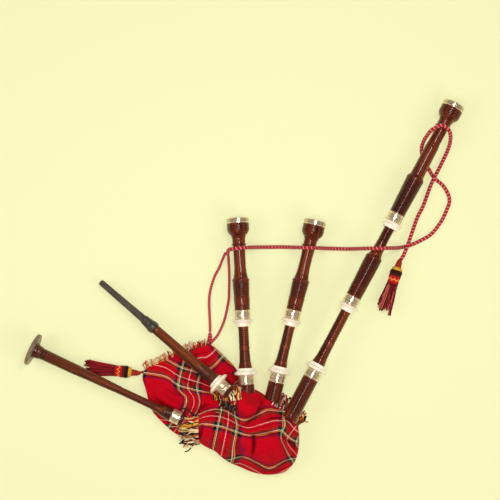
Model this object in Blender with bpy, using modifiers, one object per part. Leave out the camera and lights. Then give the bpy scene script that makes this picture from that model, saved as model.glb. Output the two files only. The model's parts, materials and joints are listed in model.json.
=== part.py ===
"""A Highland bagpipe laid flat on a table, modelled in metres with +Z up.

The origin is the middle of the flat patch that the bag rests on. Each pipe has its own frame, an empty
at the mouth of its stock with +Z along the pipe towards its free end, so every turned piece of that pipe
is a profile about one axis and every turning or sliding joint lies on it.
"""

import math

import bmesh
import bpy
import numpy as np
from mathutils import Matrix, Vector

MM = 0.001

# Clearances
FIT = 0.3 * MM          # between two pieces that seat on each other
RUN = 0.4 * MM          # between a turned piece and the bore it turns or slides in
PASS = 0.9 * MM         # round a stock where it goes through the bag and its cover

# Facets round a turned piece
ROUND = 14
SMALL_ROUND = 10

# Drone stocks and the turned wood above them
STOCK_RADIUS = 17.8 * MM
STOCK_BORE = 12.5 * MM
TENOR_STOCK_LENGTH = 95.0 * MM
BASS_STOCK_LENGTH = 120.0 * MM
FERRULE_LENGTH = 20.0 * MM
FERRULE_RADIUS = 17.2 * MM
FERRULE_WALL = 1.3 * MM
TENON_LENGTH = 30.0 * MM
HEMP_WALL = 0.8 * MM
HEMP_END = 3.0 * MM      # bare wood at each end of a hemp lapping
DRONE_BORE = 4.0 * MM
PIN_RADIUS = 11.5 * MM
PIN_BORE = 12.3 * MM
PIN_IN_TOP = 46.0 * MM   # length of tuning pin inside the joint above it, as laid out
PIN_BORE_DEPTH = 80.0 * MM
MOUNT_WOOD_RADIUS = STOCK_BORE + 1.5 * MM

# Projecting mounts
LOWER_MOUNT_LENGTH = 16.0 * MM
LOWER_MOUNT_RADIUS = 25.6 * MM
UPPER_MOUNT_LENGTH = 16.0 * MM
UPPER_MOUNT_RADIUS = 23.2 * MM
MOUNT_COLLAR_RADIUS = MOUNT_WOOD_RADIUS + 2.0 * MM
MOUNT_FLANGE = 7.0 * MM

# Bells, shared by the three drones
BELL_RADIUS = 24.9 * MM
BELL_LENGTH = 40.0 * MM
BELL_WAIST_RADIUS = 14.4 * MM
BELL_HOLLOW_RADIUS = 15.5 * MM
BELL_HOLLOW_DEPTH = 30.0 * MM
BEAD_RADIUS = 16.2 * MM
BEAD_FROM_END = 59.0 * MM
NECK_RADIUS = 13.0 * MM
CAP_RADIUS = 24.5 * MM
CAP_LENGTH = 12.0 * MM
CAP_WALL = 1.3 * MM
CAP_FACE = 3.0 * MM
CAP_MOUTH_RADIUS = 11.5 * MM
BELL_BORE = 6.5 * MM

# Tenor drone, measured from the mouth of its stock
TENOR_EXPOSED = 107.0 * MM       # lower face of the upper mount
TENOR_LENGTH = 347.0 * MM        # end of the bell
TENOR_SHOULDER = 131.0 * MM      # from the bell's end to the wide turning
TENOR_BODY_RADIUS = 18.8 * MM

# Bass drone, three joints
BASS_MIDDLE_START = 146.0 * MM   # lower face of the middle joint's mount
BASS_MIDDLE_SHOULDER = 283.0 * MM
BASS_TOP_START = 352.0 * MM
BASS_LENGTH = 664.0 * MM
BASS_SHOULDER = 184.0 * MM
BASS_BODY_RADIUS = 19.6 * MM

# Drone reeds
REED_RADIUS = 3.9 * MM
REED_BORE = 2.4 * MM
REED_LENGTH = 56.0 * MM
REED_SEAT = 14.0 * MM
TONGUE_LENGTH = 26.0 * MM
TONGUE_WIDTH = 4.0 * MM
TONGUE_THICKNESS = 0.7 * MM
REED_FLAT = 3.1 * MM             # height of the flat under the tongue, above the reed's axis

# Blowpipe
BLOW_LENGTH = 351.0 * MM
BLOW_MOUNT_RADIUS = 26.4 * MM
BLOW_MOUNT_LENGTH = 15.0 * MM
BLOW_STICK_END = 189.0 * MM
BLOW_WIDE_RADIUS = 14.3 * MM
BLOW_RADIUS = 10.7 * MM
BLOW_BORE = 5.5 * MM
BLOW_STOCK_LENGTH = 50.0 * MM
SMALL_STOCK_RADIUS = 15.8 * MM
SMALL_STOCK_BORE = 11.4 * MM
SMALL_FERRULE_RADIUS = 15.6 * MM
MOUTHPIECE_BULB = 13.4 * MM
MOUTHPIECE_TIP = 7.0 * MM
MOUTHPIECE_BORE = 3.4 * MM
MOUTHPIECE_TENON = 20.0 * MM
MOUTHPIECE_TENON_RADIUS = 7.4 * MM
FLAP_RADIUS = 8.4 * MM
FLAP_THICKNESS = 1.2 * MM

# Chanter
CHANTER_LENGTH = 341.0 * MM
CHANTER_STOCK_LENGTH = 82.0 * MM
CHANTER_BULB_RADIUS = 15.0 * MM
CHANTER_THROAT_RADIUS = 8.3 * MM
CHANTER_FOOT_RADIUS = 12.2 * MM
CHANTER_THROAT_BORE = 2.4 * MM
CHANTER_FOOT_BORE = 9.5 * MM
SOLE_RADIUS = 36.5 * MM
SOLE_THICKNESS = 7.0 * MM
SOLE_SPIGOT_RADIUS = 13.0 * MM
HOLE_RADIUS = 2.9 * MM
HOLE_PITCH = 23.5 * MM
FINGER_HOLES = 7
CHANTER_REED_LENGTH = 34.0 * MM
CHANTER_REED_SEAT = 12.0 * MM

# Where each pipe lies: the mouth of its stock, and its free end, on the axis
PIPES = {
    "tenor_left": (Vector((-2.6, 127.5, 47.0)) * MM, Vector((-20.9, 473.0, 25.5)) * MM),
    "tenor_right": (Vector((69.1, 131.5, 47.0)) * MM, Vector((151.6, 468.6, 25.5)) * MM),
    "bass": (Vector((149.2, 139.2, 47.0)) * MM, Vector((459.4, 726.2, 25.3)) * MM),
    "blowpipe": (Vector((-58.5, 109.1, 72.0)) * MM, Vector((-327.8, 334.2, 18.0)) * MM),
    "chanter": (Vector((-164.9, 41.4, 48.0)) * MM, Vector((-474.3, 184.8, 37.4)) * MM),
}

# Bag: the outline of its cover seen from above, counterclockwise from the right
BAG_CENTRE = (-42.0, 48.0)
BAG_OUTLINE = (
    (113, 14), (98, 46), (72, 67), (40, 80), (0, 98), (-20, 132), (-48, 165), (-75, 191), (-92, 198),
    (-136, 183), (-180, 165), (-213, 147), (-235, 131), (-222, 90), (-209, 57), (-180, 29), (-147, 0),
    (-114, -15), (-70, -42), (-15, -77), (40, -95), (84, -90), (108, -64), (115, -31),
)
BAG_RIM = 22.0 * MM            # height of the bag's widest line above the table
BAG_BASE_HEIGHT = 26.0 * MM    # height of the slack cloth between the lobes
BODY_HEIGHT = 95.0 * MM        # height of the main lobe
SIDE_LOBE_HEIGHT = 47.0 * MM   # height of the lobe under the blowpipe
NECK_HEIGHT = 72.0 * MM        # height of the gathered neck at the chanter stock
COVER_WALL = 1.8 * MM
HIDE_WALL = 2.2 * MM
HIDE_GAP = 4.0 * MM            # from the cover's outside to the bag's outside, square to the cloth

# Cord: radii, and the points that its runs pass through, in millimetres
CORD_RADIUS = 4.2 * MM
THIN_CORD_RADIUS = 3.0 * MM
MAIN_ROUTE = (
    (-40, 403, 35), (-36.5, 404, 44), (-19.8, 406.5, 54), (0.5, 408, 45.5), (11, 408.4, 31),
    (25, 408.8, 17),
    (45, 409, 7), (72, 409.2, 4.6), (94, 408.8, 16), (107, 408.4, 31), (118, 408, 44.5), (135.8, 407.4, 53),
    (154, 407, 44.5), (165, 406.6, 31), (180, 406.1, 16), (203, 405.4, 5.6), (226, 405, 10),
    (246, 405.4, 32),
    (264, 406, 53), (289, 406.3, 63.6), (313, 406.8, 54), (330, 407, 30), (341, 408.2, 12),
    (354, 410.6, 4.8), (368, 414.8, 4.4),
    (388.7, 424.6, 4.4), (411.4, 438.7, 4.4), (433, 466.4, 4.4), (447.5, 497.2, 4.4), (451.5, 512.6, 4.4),
    (448.1, 528, 4.4), (436.5, 546.7, 4.4), (416.7, 564.5, 4.4), (402.6, 588, 4.4), (391.5, 611, 4.4),
    (389, 627, 4.8), (391.5, 642.4, 15), (397.4, 655, 30), (406.4, 666.6, 44.5), (425.4, 675.6, 53),
    (438.4, 669.8, 52), (447, 657, 43), (449.5, 639.1, 22), (446, 622.6, 8.6), (439.3, 607, 5.2),
    (428.6, 586.1, 9), (416.7, 564.5, 13.8), (407, 541.2, 8.5), (393.1, 501.6, 4.4), (379.5, 474.1, 4.6),
    (366.5, 440, 11), (356, 411, 15), (348, 391.6, 14.2), (341.2, 380.6, 14.2),
)
OUTER_ROUTE = (
    (-48, 395.5, 29), (-54.5, 381, 14), (-62, 363, 4.6), (-73, 342, 3.3), (-82.3, 310.2, 3.3),
    (-84.5, 285, 3.3), (-83.6, 259.6, 3.3), (-82.6, 235, 3.3), (-82.5, 219, 3.3),
)
INNER_ROUTE = (
    (-41.6, 391, 27), (-40.8, 378, 12.5), (-40.2, 362, 4), (-39.6, 344.3, 3.3), (-40, 316, 3.3),
    (-41.5, 288.2, 3.3), (-50.6, 246.4, 3.3), (-63.8, 215.6, 3.3), (-74.5, 202, 3.3), (-82.5, 193.5, 3.3),
    (-92, 189, 3.3), (-104, 187, 3.3), (-136, 176, 3.3), (-180, 158, 3.3), (-212, 140.5, 3.3),
    (-228, 132, 4.5), (-240.5, 129.4, 11),
)
MAIN_POINTS = 56
OUTER_POINTS = 11
INNER_POINTS = 20

# Tassels: knot to the ends of the strands
TASSEL_LENGTH = 122.0 * MM
TASSEL_HEAD_RADIUS = 14.6 * MM
TASSEL_SKIRT_RADIUS = 18.0 * MM
TASSEL_FLAT = 0.78               # height over width, because a tassel flattens where it lies
RIGHT_TASSEL = (Vector((338.8, 376.6, 14.2)) * MM, Vector((-0.306, -0.952, 0.0)))
LEFT_TASSEL = (Vector((-243.6, 129.2, 14.2)) * MM, Vector((-0.994, 0.106, 0.0)))


# ---------------------------------------------------------------- scene and materials

def clear_scene():
    for obj in list(bpy.data.objects):
        bpy.data.objects.remove(obj, do_unlink=True)


def new_collection(name):
    collection = bpy.data.collections.new(name)
    bpy.context.scene.collection.children.link(collection)
    return collection


def new_material(name, colour, roughness, metallic=0.0):
    material = bpy.data.materials.new(name)
    material.use_nodes = True
    shader = material.node_tree.nodes["Principled BSDF"]
    shader.inputs["Base Color"].default_value = (*colour, 1.0)
    shader.inputs["Roughness"].default_value = roughness
    shader.inputs["Metallic"].default_value = metallic
    return material


clear_scene()
BAGPIPE = new_collection("bagpipe")
CUTTERS = new_collection("cutters")
CUTTERS.hide_render = True

WOOD = new_material("rosewood", (0.14, 0.035, 0.012), 0.25)
DARK_WOOD = new_material("blackwood", (0.06, 0.02, 0.01), 0.3)
NICKEL = new_material("nickel", (0.78, 0.74, 0.66), 0.2, 1.0)
IVORY = new_material("imitation_ivory", (0.86, 0.8, 0.66), 0.3)
SOLE = new_material("sole", (0.4, 0.28, 0.16), 0.35)
PLASTIC = new_material("black_plastic", (0.04, 0.035, 0.03), 0.35)
HEMP = new_material("waxed_hemp", (0.5, 0.38, 0.16), 0.8)
CANE = new_material("cane", (0.62, 0.5, 0.22), 0.5)
HIDE = new_material("hide", (0.45, 0.3, 0.18), 0.7)
TARTAN = new_material("tartan", (0.55, 0.01, 0.02), 0.9)
CORD = new_material("cord", (0.5, 0.03, 0.05), 0.7)
TASSEL = new_material("tassel_wool", (0.3, 0.01, 0.02), 0.9)


# ---------------------------------------------------------------- shape helpers

def add_object(name, data, material, parent=None, collection=BAGPIPE):
    obj = bpy.data.objects.new(name, data)
    collection.objects.link(obj)
    if material is not None:
        data.materials.append(material)
    obj.parent = parent
    return obj


def pipe_frame(name, seat, free_end):
    """An empty at the seat whose +Z runs along the pipe to its free end and whose +Y stays level."""
    along = (free_end - seat).normalized()
    level = along.cross(Vector((0.0, 0.0, 1.0))).normalized()
    up = level.cross(along)
    turn = Matrix((up, level, along)).transposed().to_4x4()
    empty = bpy.data.objects.new(name + "_axis", None)
    BAGPIPE.objects.link(empty)
    empty.matrix_world = Matrix.Translation(seat) @ turn
    return empty


def turned(name, outline, parent, material, steps=ROUND):
    """Turns (radius, height) points about local Z. They run down the outside and back up the bore; where
    the piece has no bore, the first and last points are on the axis."""
    mesh = bpy.data.meshes.new(name)
    points = [(radius, 0.0, height) for radius, height in outline]
    count = len(points)
    edges = [(i, i + 1) for i in range(count - 1)]
    if outline[0][0] > 0.0:
        edges.append((count - 1, 0))
    mesh.from_pydata(points, edges, [])
    obj = add_object(name, mesh, material, parent)
    screw = obj.modifiers.new("turn", "SCREW")
    screw.axis = "Z"
    screw.steps = steps
    screw.render_steps = steps
    screw.use_merge_vertices = True
    screw.merge_threshold = 0.00002
    screw.use_smooth_shade = True
    return obj


def tube(outer, inner, low, high):
    """The outline of a plain tube."""
    return [(outer, high), (outer, low), (inner, low), (inner, high)]


def cylinder_cutter(name, radius, low, high, parent, steps=ROUND):
    mesh = bpy.data.meshes.new(name)
    shape = bmesh.new()
    bmesh.ops.create_cone(shape, cap_ends=True, segments=steps, radius1=radius, radius2=radius,
                          depth=high - low)
    bmesh.ops.translate(shape, verts=shape.verts, vec=(0.0, 0.0, (high + low) / 2))
    shape.to_mesh(mesh)
    shape.free()
    obj = add_object(name, mesh, None, parent, CUTTERS)
    obj.hide_render = True
    obj.display_type = "WIRE"
    return obj


def box_mesh(name, size, centre):
    mesh = bpy.data.meshes.new(name)
    shape = bmesh.new()
    bmesh.ops.create_cube(shape, size=1.0)
    bmesh.ops.scale(shape, verts=shape.verts, vec=size)
    bmesh.ops.translate(shape, verts=shape.verts, vec=centre)
    shape.to_mesh(mesh)
    shape.free()
    return mesh


def cut(obj, cutter):
    boolean = obj.modifiers.new(cutter.name, "BOOLEAN")
    boolean.operation = "DIFFERENCE"
    boolean.object = cutter


def lapped_tenon(radius, length, lap_wall):
    """The tenon below a joint's shoulder, recessed for its hemp lapping: points from the top down."""
    recess = radius - lap_wall - RUN
    return [
        (radius, -FIT), (radius, -HEMP_END), (recess, -HEMP_END),
        (recess, -length + HEMP_END), (radius, -length + HEMP_END), (radius, -length),
    ]


def tenon_hemp(name, radius, length, bore, parent):
    """Waxed hemp wound in the tenon's recess; it fills the gap to the stock's bore."""
    return turned(name, tube(bore - RUN, radius - HEMP_WALL, -length + HEMP_END + FIT, -HEMP_END - FIT),
                  parent, HEMP)


# ---------------------------------------------------------------- pieces shared by the drones

def stock(name, radius, bore, length, ferrule_radius, parent, material=WOOD):
    """A stock with a ferrule seat at its mouth and a waisted end that the bag is tied to."""
    seat = ferrule_radius - FERRULE_WALL - FIT
    turned(name, [
        (seat, 0.0), (seat, -FERRULE_LENGTH - FIT), (radius, -FERRULE_LENGTH - FIT),
        (radius, -length + 16 * MM), (radius - 2 * MM, -length + 13 * MM),
        (radius - 2 * MM, -length + 7 * MM), (radius, -length + 5 * MM), (radius - 1 * MM, -length),
        (bore, -length), (bore, 0.0),
    ], parent, material)
    turned(name + "_ferrule", tube(ferrule_radius, ferrule_radius - FERRULE_WALL, -FERRULE_LENGTH, 0.0),
           parent, NICKEL)


def lower_mount(name, parent):
    """Projecting mount at the foot of a bottom joint: a flange with a coved collar above it."""
    inner = MOUNT_WOOD_RADIUS + FIT
    turned(name, [
        (MOUNT_COLLAR_RADIUS, LOWER_MOUNT_LENGTH), (MOUNT_COLLAR_RADIUS + 1 * MM, 11 * MM),
        (MOUNT_COLLAR_RADIUS + 5 * MM, MOUNT_FLANGE), (LOWER_MOUNT_RADIUS - 1 * MM, MOUNT_FLANGE),
        (LOWER_MOUNT_RADIUS, MOUNT_FLANGE - 2 * MM), (LOWER_MOUNT_RADIUS - 1 * MM, 2 * MM),
        (MOUNT_COLLAR_RADIUS + 2 * MM, FIT), (inner, FIT), (inner, LOWER_MOUNT_LENGTH),
    ], parent, IVORY)


def upper_mount(name, start, parent):
    """Projecting mount at the foot of an upper joint: a thin flange with a collar below it."""
    inner = MOUNT_WOOD_RADIUS + FIT
    top = start + UPPER_MOUNT_LENGTH
    turned(name, [
        (FERRULE_RADIUS, top), (UPPER_MOUNT_RADIUS - 2 * MM, top - 1.5 * MM),
        (UPPER_MOUNT_RADIUS, top - MOUNT_FLANGE / 2), (UPPER_MOUNT_RADIUS - 2 * MM, top - MOUNT_FLANGE),
        (MOUNT_COLLAR_RADIUS, top - MOUNT_FLANGE), (MOUNT_COLLAR_RADIUS, start),
        (inner, start), (inner, top),
    ], parent, IVORY)


def joint_ferrule(name, start, parent):
    low = start + UPPER_MOUNT_LENGTH + FIT
    turned(name, tube(FERRULE_RADIUS, FERRULE_RADIUS - FERRULE_WALL, low, low + FERRULE_LENGTH),
           parent, NICKEL)


def joint_foot(start):
    """The lower end of an upper joint under its ferrule and mount, then its pin bore, points from the
    ferrule down and back up the bore."""
    seat = FERRULE_RADIUS - FERRULE_WALL - FIT
    ferrule_low = start + UPPER_MOUNT_LENGTH
    ferrule_high = ferrule_low + 2 * FIT + FERRULE_LENGTH
    return [
        (seat, ferrule_high), (seat, ferrule_low), (MOUNT_WOOD_RADIUS, ferrule_low),
        (MOUNT_WOOD_RADIUS, start), (PIN_BORE, start), (PIN_BORE, start + PIN_BORE_DEPTH),
    ]


def pin(end):
    """A tuning pin up to its end, recessed for its hemp, points from the end down."""
    recess = PIN_RADIUS - HEMP_WALL
    return [
        (PIN_RADIUS, end), (PIN_RADIUS, end - HEMP_END), (recess, end - HEMP_END),
        (recess, end - 0.75 * PIN_IN_TOP), (PIN_RADIUS, end - 0.75 * PIN_IN_TOP),
    ]


def pin_hemp(name, end, parent):
    inner = PIN_RADIUS - HEMP_WALL + FIT
    turned(name, tube(PIN_BORE - RUN, inner, end - 0.75 * PIN_IN_TOP + FIT, end - HEMP_END - FIT),
           parent, HEMP)


def bottom_joint(name, exposed, parent):
    """A drone's bottom joint: tenon, mount seat, waisted turning and tuning pin."""
    end = exposed + PIN_IN_TOP
    tenon = STOCK_BORE - RUN
    outline = pin(end)
    outline += [
        (PIN_RADIUS, LOWER_MOUNT_LENGTH + 42 * MM), (12.6 * MM, LOWER_MOUNT_LENGTH + 20 * MM),
        (14.6 * MM, LOWER_MOUNT_LENGTH + 4 * MM), (14.6 * MM, LOWER_MOUNT_LENGTH + FIT),
        (MOUNT_WOOD_RADIUS, LOWER_MOUNT_LENGTH + FIT), (MOUNT_WOOD_RADIUS, FIT), (tenon, FIT),
    ]
    outline += lapped_tenon(tenon, TENON_LENGTH, HEMP_WALL)[1:]
    outline += [
        (REED_RADIUS + FIT, -TENON_LENGTH), (REED_RADIUS + FIT, -TENON_LENGTH + REED_SEAT),
        (DRONE_BORE - 1 * MM, -TENON_LENGTH + REED_SEAT + FIT), (DRONE_BORE, end),
    ]
    turned(name, outline, parent, WOOD)


def bell_outline(end):
    """The outside of a drone top from the cap's seat down to the neck below the bead."""
    bead = end - BEAD_FROM_END
    return [
        (CAP_RADIUS - CAP_WALL - FIT, end - CAP_FACE - FIT),
        (CAP_RADIUS - CAP_WALL - FIT, end - CAP_LENGTH - FIT),
        (BELL_RADIUS - 0.4 * MM, end - CAP_LENGTH - FIT), (BELL_RADIUS, end - 0.6 * BELL_LENGTH),
        (BELL_RADIUS - 1.6 * MM, end - 0.76 * BELL_LENGTH), (BELL_RADIUS - 6 * MM, end - 0.9 * BELL_LENGTH),
        (BELL_WAIST_RADIUS + 1.4 * MM, end - BELL_LENGTH), (BELL_WAIST_RADIUS, bead + 12 * MM),
        (BELL_WAIST_RADIUS, bead + 4 * MM), (BEAD_RADIUS, bead + 1.6 * MM), (BEAD_RADIUS, bead - 1.6 * MM),
        (NECK_RADIUS + 0.8 * MM, bead - 4 * MM), (NECK_RADIUS, bead - 22 * MM),
    ]


def bell_hollow(end):
    """The bore and the hollow of a bell, points up the inside."""
    floor = end - CAP_FACE - FIT - BELL_HOLLOW_DEPTH
    return [
        (BELL_BORE, floor), (BELL_HOLLOW_RADIUS, floor + 7 * MM),
        (BELL_HOLLOW_RADIUS, end - CAP_FACE - FIT),
    ]


def ring_cap(name, end, parent):
    """Nickel cap over the bell's rim, with the mouth that the sound leaves by."""
    turned(name, [
        (CAP_RADIUS - 1 * MM, end), (CAP_RADIUS, end - 1 * MM), (CAP_RADIUS, end - CAP_LENGTH),
        (CAP_RADIUS - CAP_WALL, end - CAP_LENGTH), (CAP_RADIUS - CAP_WALL, end - CAP_FACE),
        (CAP_MOUTH_RADIUS, end - CAP_FACE), (CAP_MOUTH_RADIUS, end),
    ], parent, NICKEL)


def drone_reed(name, parent):
    """A cane tube plugged at its lower end, with a flat and a slot on top, and the tongue over the flat."""
    high = -TENON_LENGTH + REED_SEAT - FIT
    low = high - REED_LENGTH
    body = turned(name + "_reed_body", [
        (0.0, low + 5 * MM), (REED_BORE, low + 5 * MM), (REED_BORE, high),
        (REED_RADIUS, high), (REED_RADIUS, low), (0.0, low),
    ], parent, CANE, SMALL_ROUND)
    tongue_high = -TENON_LENGTH - 5 * MM
    middle = tongue_high - TONGUE_LENGTH / 2
    flat_top = REED_RADIUS + 1 * MM
    flat = box_mesh(name + "_reed_flat", (2.4 * REED_RADIUS, flat_top - REED_FLAT, TONGUE_LENGTH + 3 * MM),
                    (0.0, (flat_top + REED_FLAT) / 2, middle))
    slot = box_mesh(name + "_reed_slot", (1.6 * MM, REED_RADIUS + 1 * MM, TONGUE_LENGTH - 8 * MM),
                    (0.0, (REED_RADIUS + 1 * MM) / 2, middle))
    for mesh in (flat, slot):
        cutter = add_object(mesh.name, mesh, None, parent, CUTTERS)
        cutter.hide_render = True
        cutter.display_type = "WIRE"
        cut(body, cutter)
    tongue = box_mesh(name + "_reed_tongue", (TONGUE_WIDTH, TONGUE_THICKNESS, TONGUE_LENGTH),
                      (0.0, TONGUE_THICKNESS / 2, -TONGUE_LENGTH / 2))
    reed = add_object(name + "_reed_tongue", tongue, CANE, parent)
    reed.location = (0.0, REED_FLAT + FIT, tongue_high)


# ---------------------------------------------------------------- the five pipes

def make_tenor(name):
    axis = pipe_frame(name, *PIPES[name])
    stock(name + "_stock", STOCK_RADIUS, STOCK_BORE, TENOR_STOCK_LENGTH, FERRULE_RADIUS, axis)
    bottom_joint(name + "_bottom", TENOR_EXPOSED, axis)
    tenon_hemp(name + "_tenon_hemp", STOCK_BORE - RUN, TENON_LENGTH, STOCK_BORE, axis)
    lower_mount(name + "_lower_mount", axis)
    pin_hemp(name + "_pin_hemp", TENOR_EXPOSED + PIN_IN_TOP, axis)
    drone_reed(name, axis)
    shoulder = TENOR_LENGTH - TENOR_SHOULDER
    foot = joint_foot(TENOR_EXPOSED)
    outline = bell_outline(TENOR_LENGTH)
    outline += [
        (NECK_RADIUS, shoulder + 20 * MM), (NECK_RADIUS + 2.5 * MM, shoulder),
        (TENOR_BODY_RADIUS, shoulder - 5 * MM),
        (TENOR_BODY_RADIUS, shoulder - 16 * MM), (TENOR_BODY_RADIUS - 1.2 * MM, shoulder - 48 * MM),
        (FERRULE_RADIUS - 0.4 * MM, shoulder - 62 * MM), (FERRULE_RADIUS, foot[0][1]),
    ]
    outline += foot
    outline += [(BELL_BORE, TENOR_EXPOSED + PIN_BORE_DEPTH + 4 * MM)] + bell_hollow(TENOR_LENGTH)
    turned(name + "_top", outline, axis, WOOD)
    joint_ferrule(name + "_top_ferrule", TENOR_EXPOSED, axis)
    upper_mount(name + "_top_mount", TENOR_EXPOSED, axis)
    ring_cap(name + "_ring_cap", TENOR_LENGTH, axis)


def make_bass():
    name = "bass"
    axis = pipe_frame(name, *PIPES[name])
    stock(name + "_stock", STOCK_RADIUS, STOCK_BORE, BASS_STOCK_LENGTH, FERRULE_RADIUS, axis)
    bottom_joint(name + "_bottom", BASS_MIDDLE_START, axis)
    tenon_hemp(name + "_tenon_hemp", STOCK_BORE - RUN, TENON_LENGTH, STOCK_BORE, axis)
    lower_mount(name + "_lower_mount", axis)
    pin_hemp(name + "_pin_hemp", BASS_MIDDLE_START + PIN_IN_TOP, axis)
    drone_reed(name, axis)

    end = BASS_TOP_START + PIN_IN_TOP
    shoulder = BASS_MIDDLE_SHOULDER
    foot = joint_foot(BASS_MIDDLE_START)
    outline = pin(end)
    outline += [
        (PIN_RADIUS, shoulder + 32 * MM), (12.4 * MM, shoulder + 14 * MM), (14.2 * MM, shoulder + 2 * MM),
        (18.4 * MM, shoulder - 3 * MM), (18.9 * MM, shoulder - 18 * MM), (17.8 * MM, shoulder - 78 * MM),
        (FERRULE_RADIUS, foot[0][1]),
    ]
    outline += foot
    outline += [(DRONE_BORE + 1 * MM, BASS_MIDDLE_START + PIN_BORE_DEPTH + 4 * MM),
                (DRONE_BORE + 1 * MM, end)]
    turned(name + "_middle", outline, axis, WOOD)
    joint_ferrule(name + "_middle_ferrule", BASS_MIDDLE_START, axis)
    upper_mount(name + "_middle_mount", BASS_MIDDLE_START, axis)
    pin_hemp(name + "_middle_pin_hemp", end, axis)

    shoulder = BASS_LENGTH - BASS_SHOULDER
    foot = joint_foot(BASS_TOP_START)
    outline = bell_outline(BASS_LENGTH)
    outline += [
        (NECK_RADIUS + 1.4 * MM, BASS_LENGTH - 110 * MM), (NECK_RADIUS + 1.8 * MM, shoulder + 4 * MM),
        (BASS_BODY_RADIUS, shoulder - 3 * MM), (BASS_BODY_RADIUS, shoulder - 14 * MM),
        (BASS_BODY_RADIUS - 1 * MM, shoulder - 50 * MM), (FERRULE_RADIUS, foot[0][1]),
    ]
    outline += foot
    outline += [(BELL_BORE, BASS_TOP_START + PIN_BORE_DEPTH + 4 * MM)] + bell_hollow(BASS_LENGTH)
    turned(name + "_top", outline, axis, WOOD)
    joint_ferrule(name + "_top_ferrule", BASS_TOP_START, axis)
    upper_mount(name + "_top_mount", BASS_TOP_START, axis)
    ring_cap(name + "_ring_cap", BASS_LENGTH, axis)


def make_blowpipe():
    axis = pipe_frame("blowpipe", *PIPES["blowpipe"])
    stock("blowpipe_stock", SMALL_STOCK_RADIUS, SMALL_STOCK_BORE, BLOW_STOCK_LENGTH, SMALL_FERRULE_RADIUS,
          axis)
    tenon = SMALL_STOCK_BORE - RUN
    tenon_hemp("blowpipe_tenon_hemp", tenon, TENON_LENGTH, SMALL_STOCK_BORE, axis)
    mount_wood = MOUNT_WOOD_RADIUS - 1 * MM
    socket = BLOW_STICK_END - MOUTHPIECE_TENON - FIT
    outline = [
        (BLOW_RADIUS, BLOW_STICK_END), (BLOW_RADIUS, 125 * MM), (BLOW_RADIUS + 1.4 * MM, 60 * MM),
        (BLOW_WIDE_RADIUS - 1 * MM, 28 * MM), (BLOW_WIDE_RADIUS, BLOW_MOUNT_LENGTH + 4 * MM),
        (BLOW_WIDE_RADIUS, BLOW_MOUNT_LENGTH + FIT), (mount_wood, BLOW_MOUNT_LENGTH + FIT),
        (mount_wood, FIT), (tenon, FIT),
    ]
    outline += lapped_tenon(tenon, TENON_LENGTH, HEMP_WALL)[1:]
    outline += [
        (BLOW_BORE, -TENON_LENGTH), (BLOW_BORE, socket), (MOUTHPIECE_TENON_RADIUS + RUN, socket),
        (MOUTHPIECE_TENON_RADIUS + RUN, BLOW_STICK_END),
    ]
    turned("blowstick", outline, axis, WOOD)
    turned("blowpipe_mount", [
        (MOUNT_COLLAR_RADIUS, BLOW_MOUNT_LENGTH), (MOUNT_COLLAR_RADIUS + 4 * MM, 11 * MM),
        (BLOW_MOUNT_RADIUS - 1.5 * MM, 9 * MM), (BLOW_MOUNT_RADIUS, 6 * MM),
        (BLOW_MOUNT_RADIUS - 1.5 * MM, 3 * MM),
        (SMALL_FERRULE_RADIUS, FIT), (mount_wood + FIT, FIT), (mount_wood + FIT, BLOW_MOUNT_LENGTH),
    ], axis, IVORY)
    low = BLOW_STICK_END + FIT
    turned("mouthpiece", [
        (MOUTHPIECE_TIP - 1 * MM, BLOW_LENGTH), (MOUTHPIECE_TIP, BLOW_LENGTH - 2 * MM),
        (MOUTHPIECE_TIP + 1.5 * MM, low + 38 * MM), (MOUTHPIECE_BULB - 3 * MM, low + 30 * MM),
        (MOUTHPIECE_BULB - 2 * MM, low + 18 * MM), (MOUTHPIECE_BULB, low + 9 * MM),
        (MOUTHPIECE_BULB - 0.5 * MM, low), (MOUTHPIECE_TENON_RADIUS, low),
        (MOUTHPIECE_TENON_RADIUS, low - MOUTHPIECE_TENON), (MOUTHPIECE_BORE, low - MOUTHPIECE_TENON),
        (MOUTHPIECE_BORE, BLOW_LENGTH),
    ], axis, PLASTIC)
    mesh = bpy.data.meshes.new("valve_flap")
    shape = bmesh.new()
    bmesh.ops.create_cone(shape, cap_ends=True, segments=ROUND, radius1=FLAP_RADIUS, radius2=FLAP_RADIUS,
                          depth=FLAP_THICKNESS)
    bmesh.ops.translate(shape, verts=shape.verts, vec=(FLAP_RADIUS, 0.0, -FLAP_THICKNESS / 2))
    shape.to_mesh(mesh)
    shape.free()
    flap = add_object("valve_flap", mesh, HIDE, axis)
    flap.location = (-FLAP_RADIUS, 0.0, -TENON_LENGTH - FIT)


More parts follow.
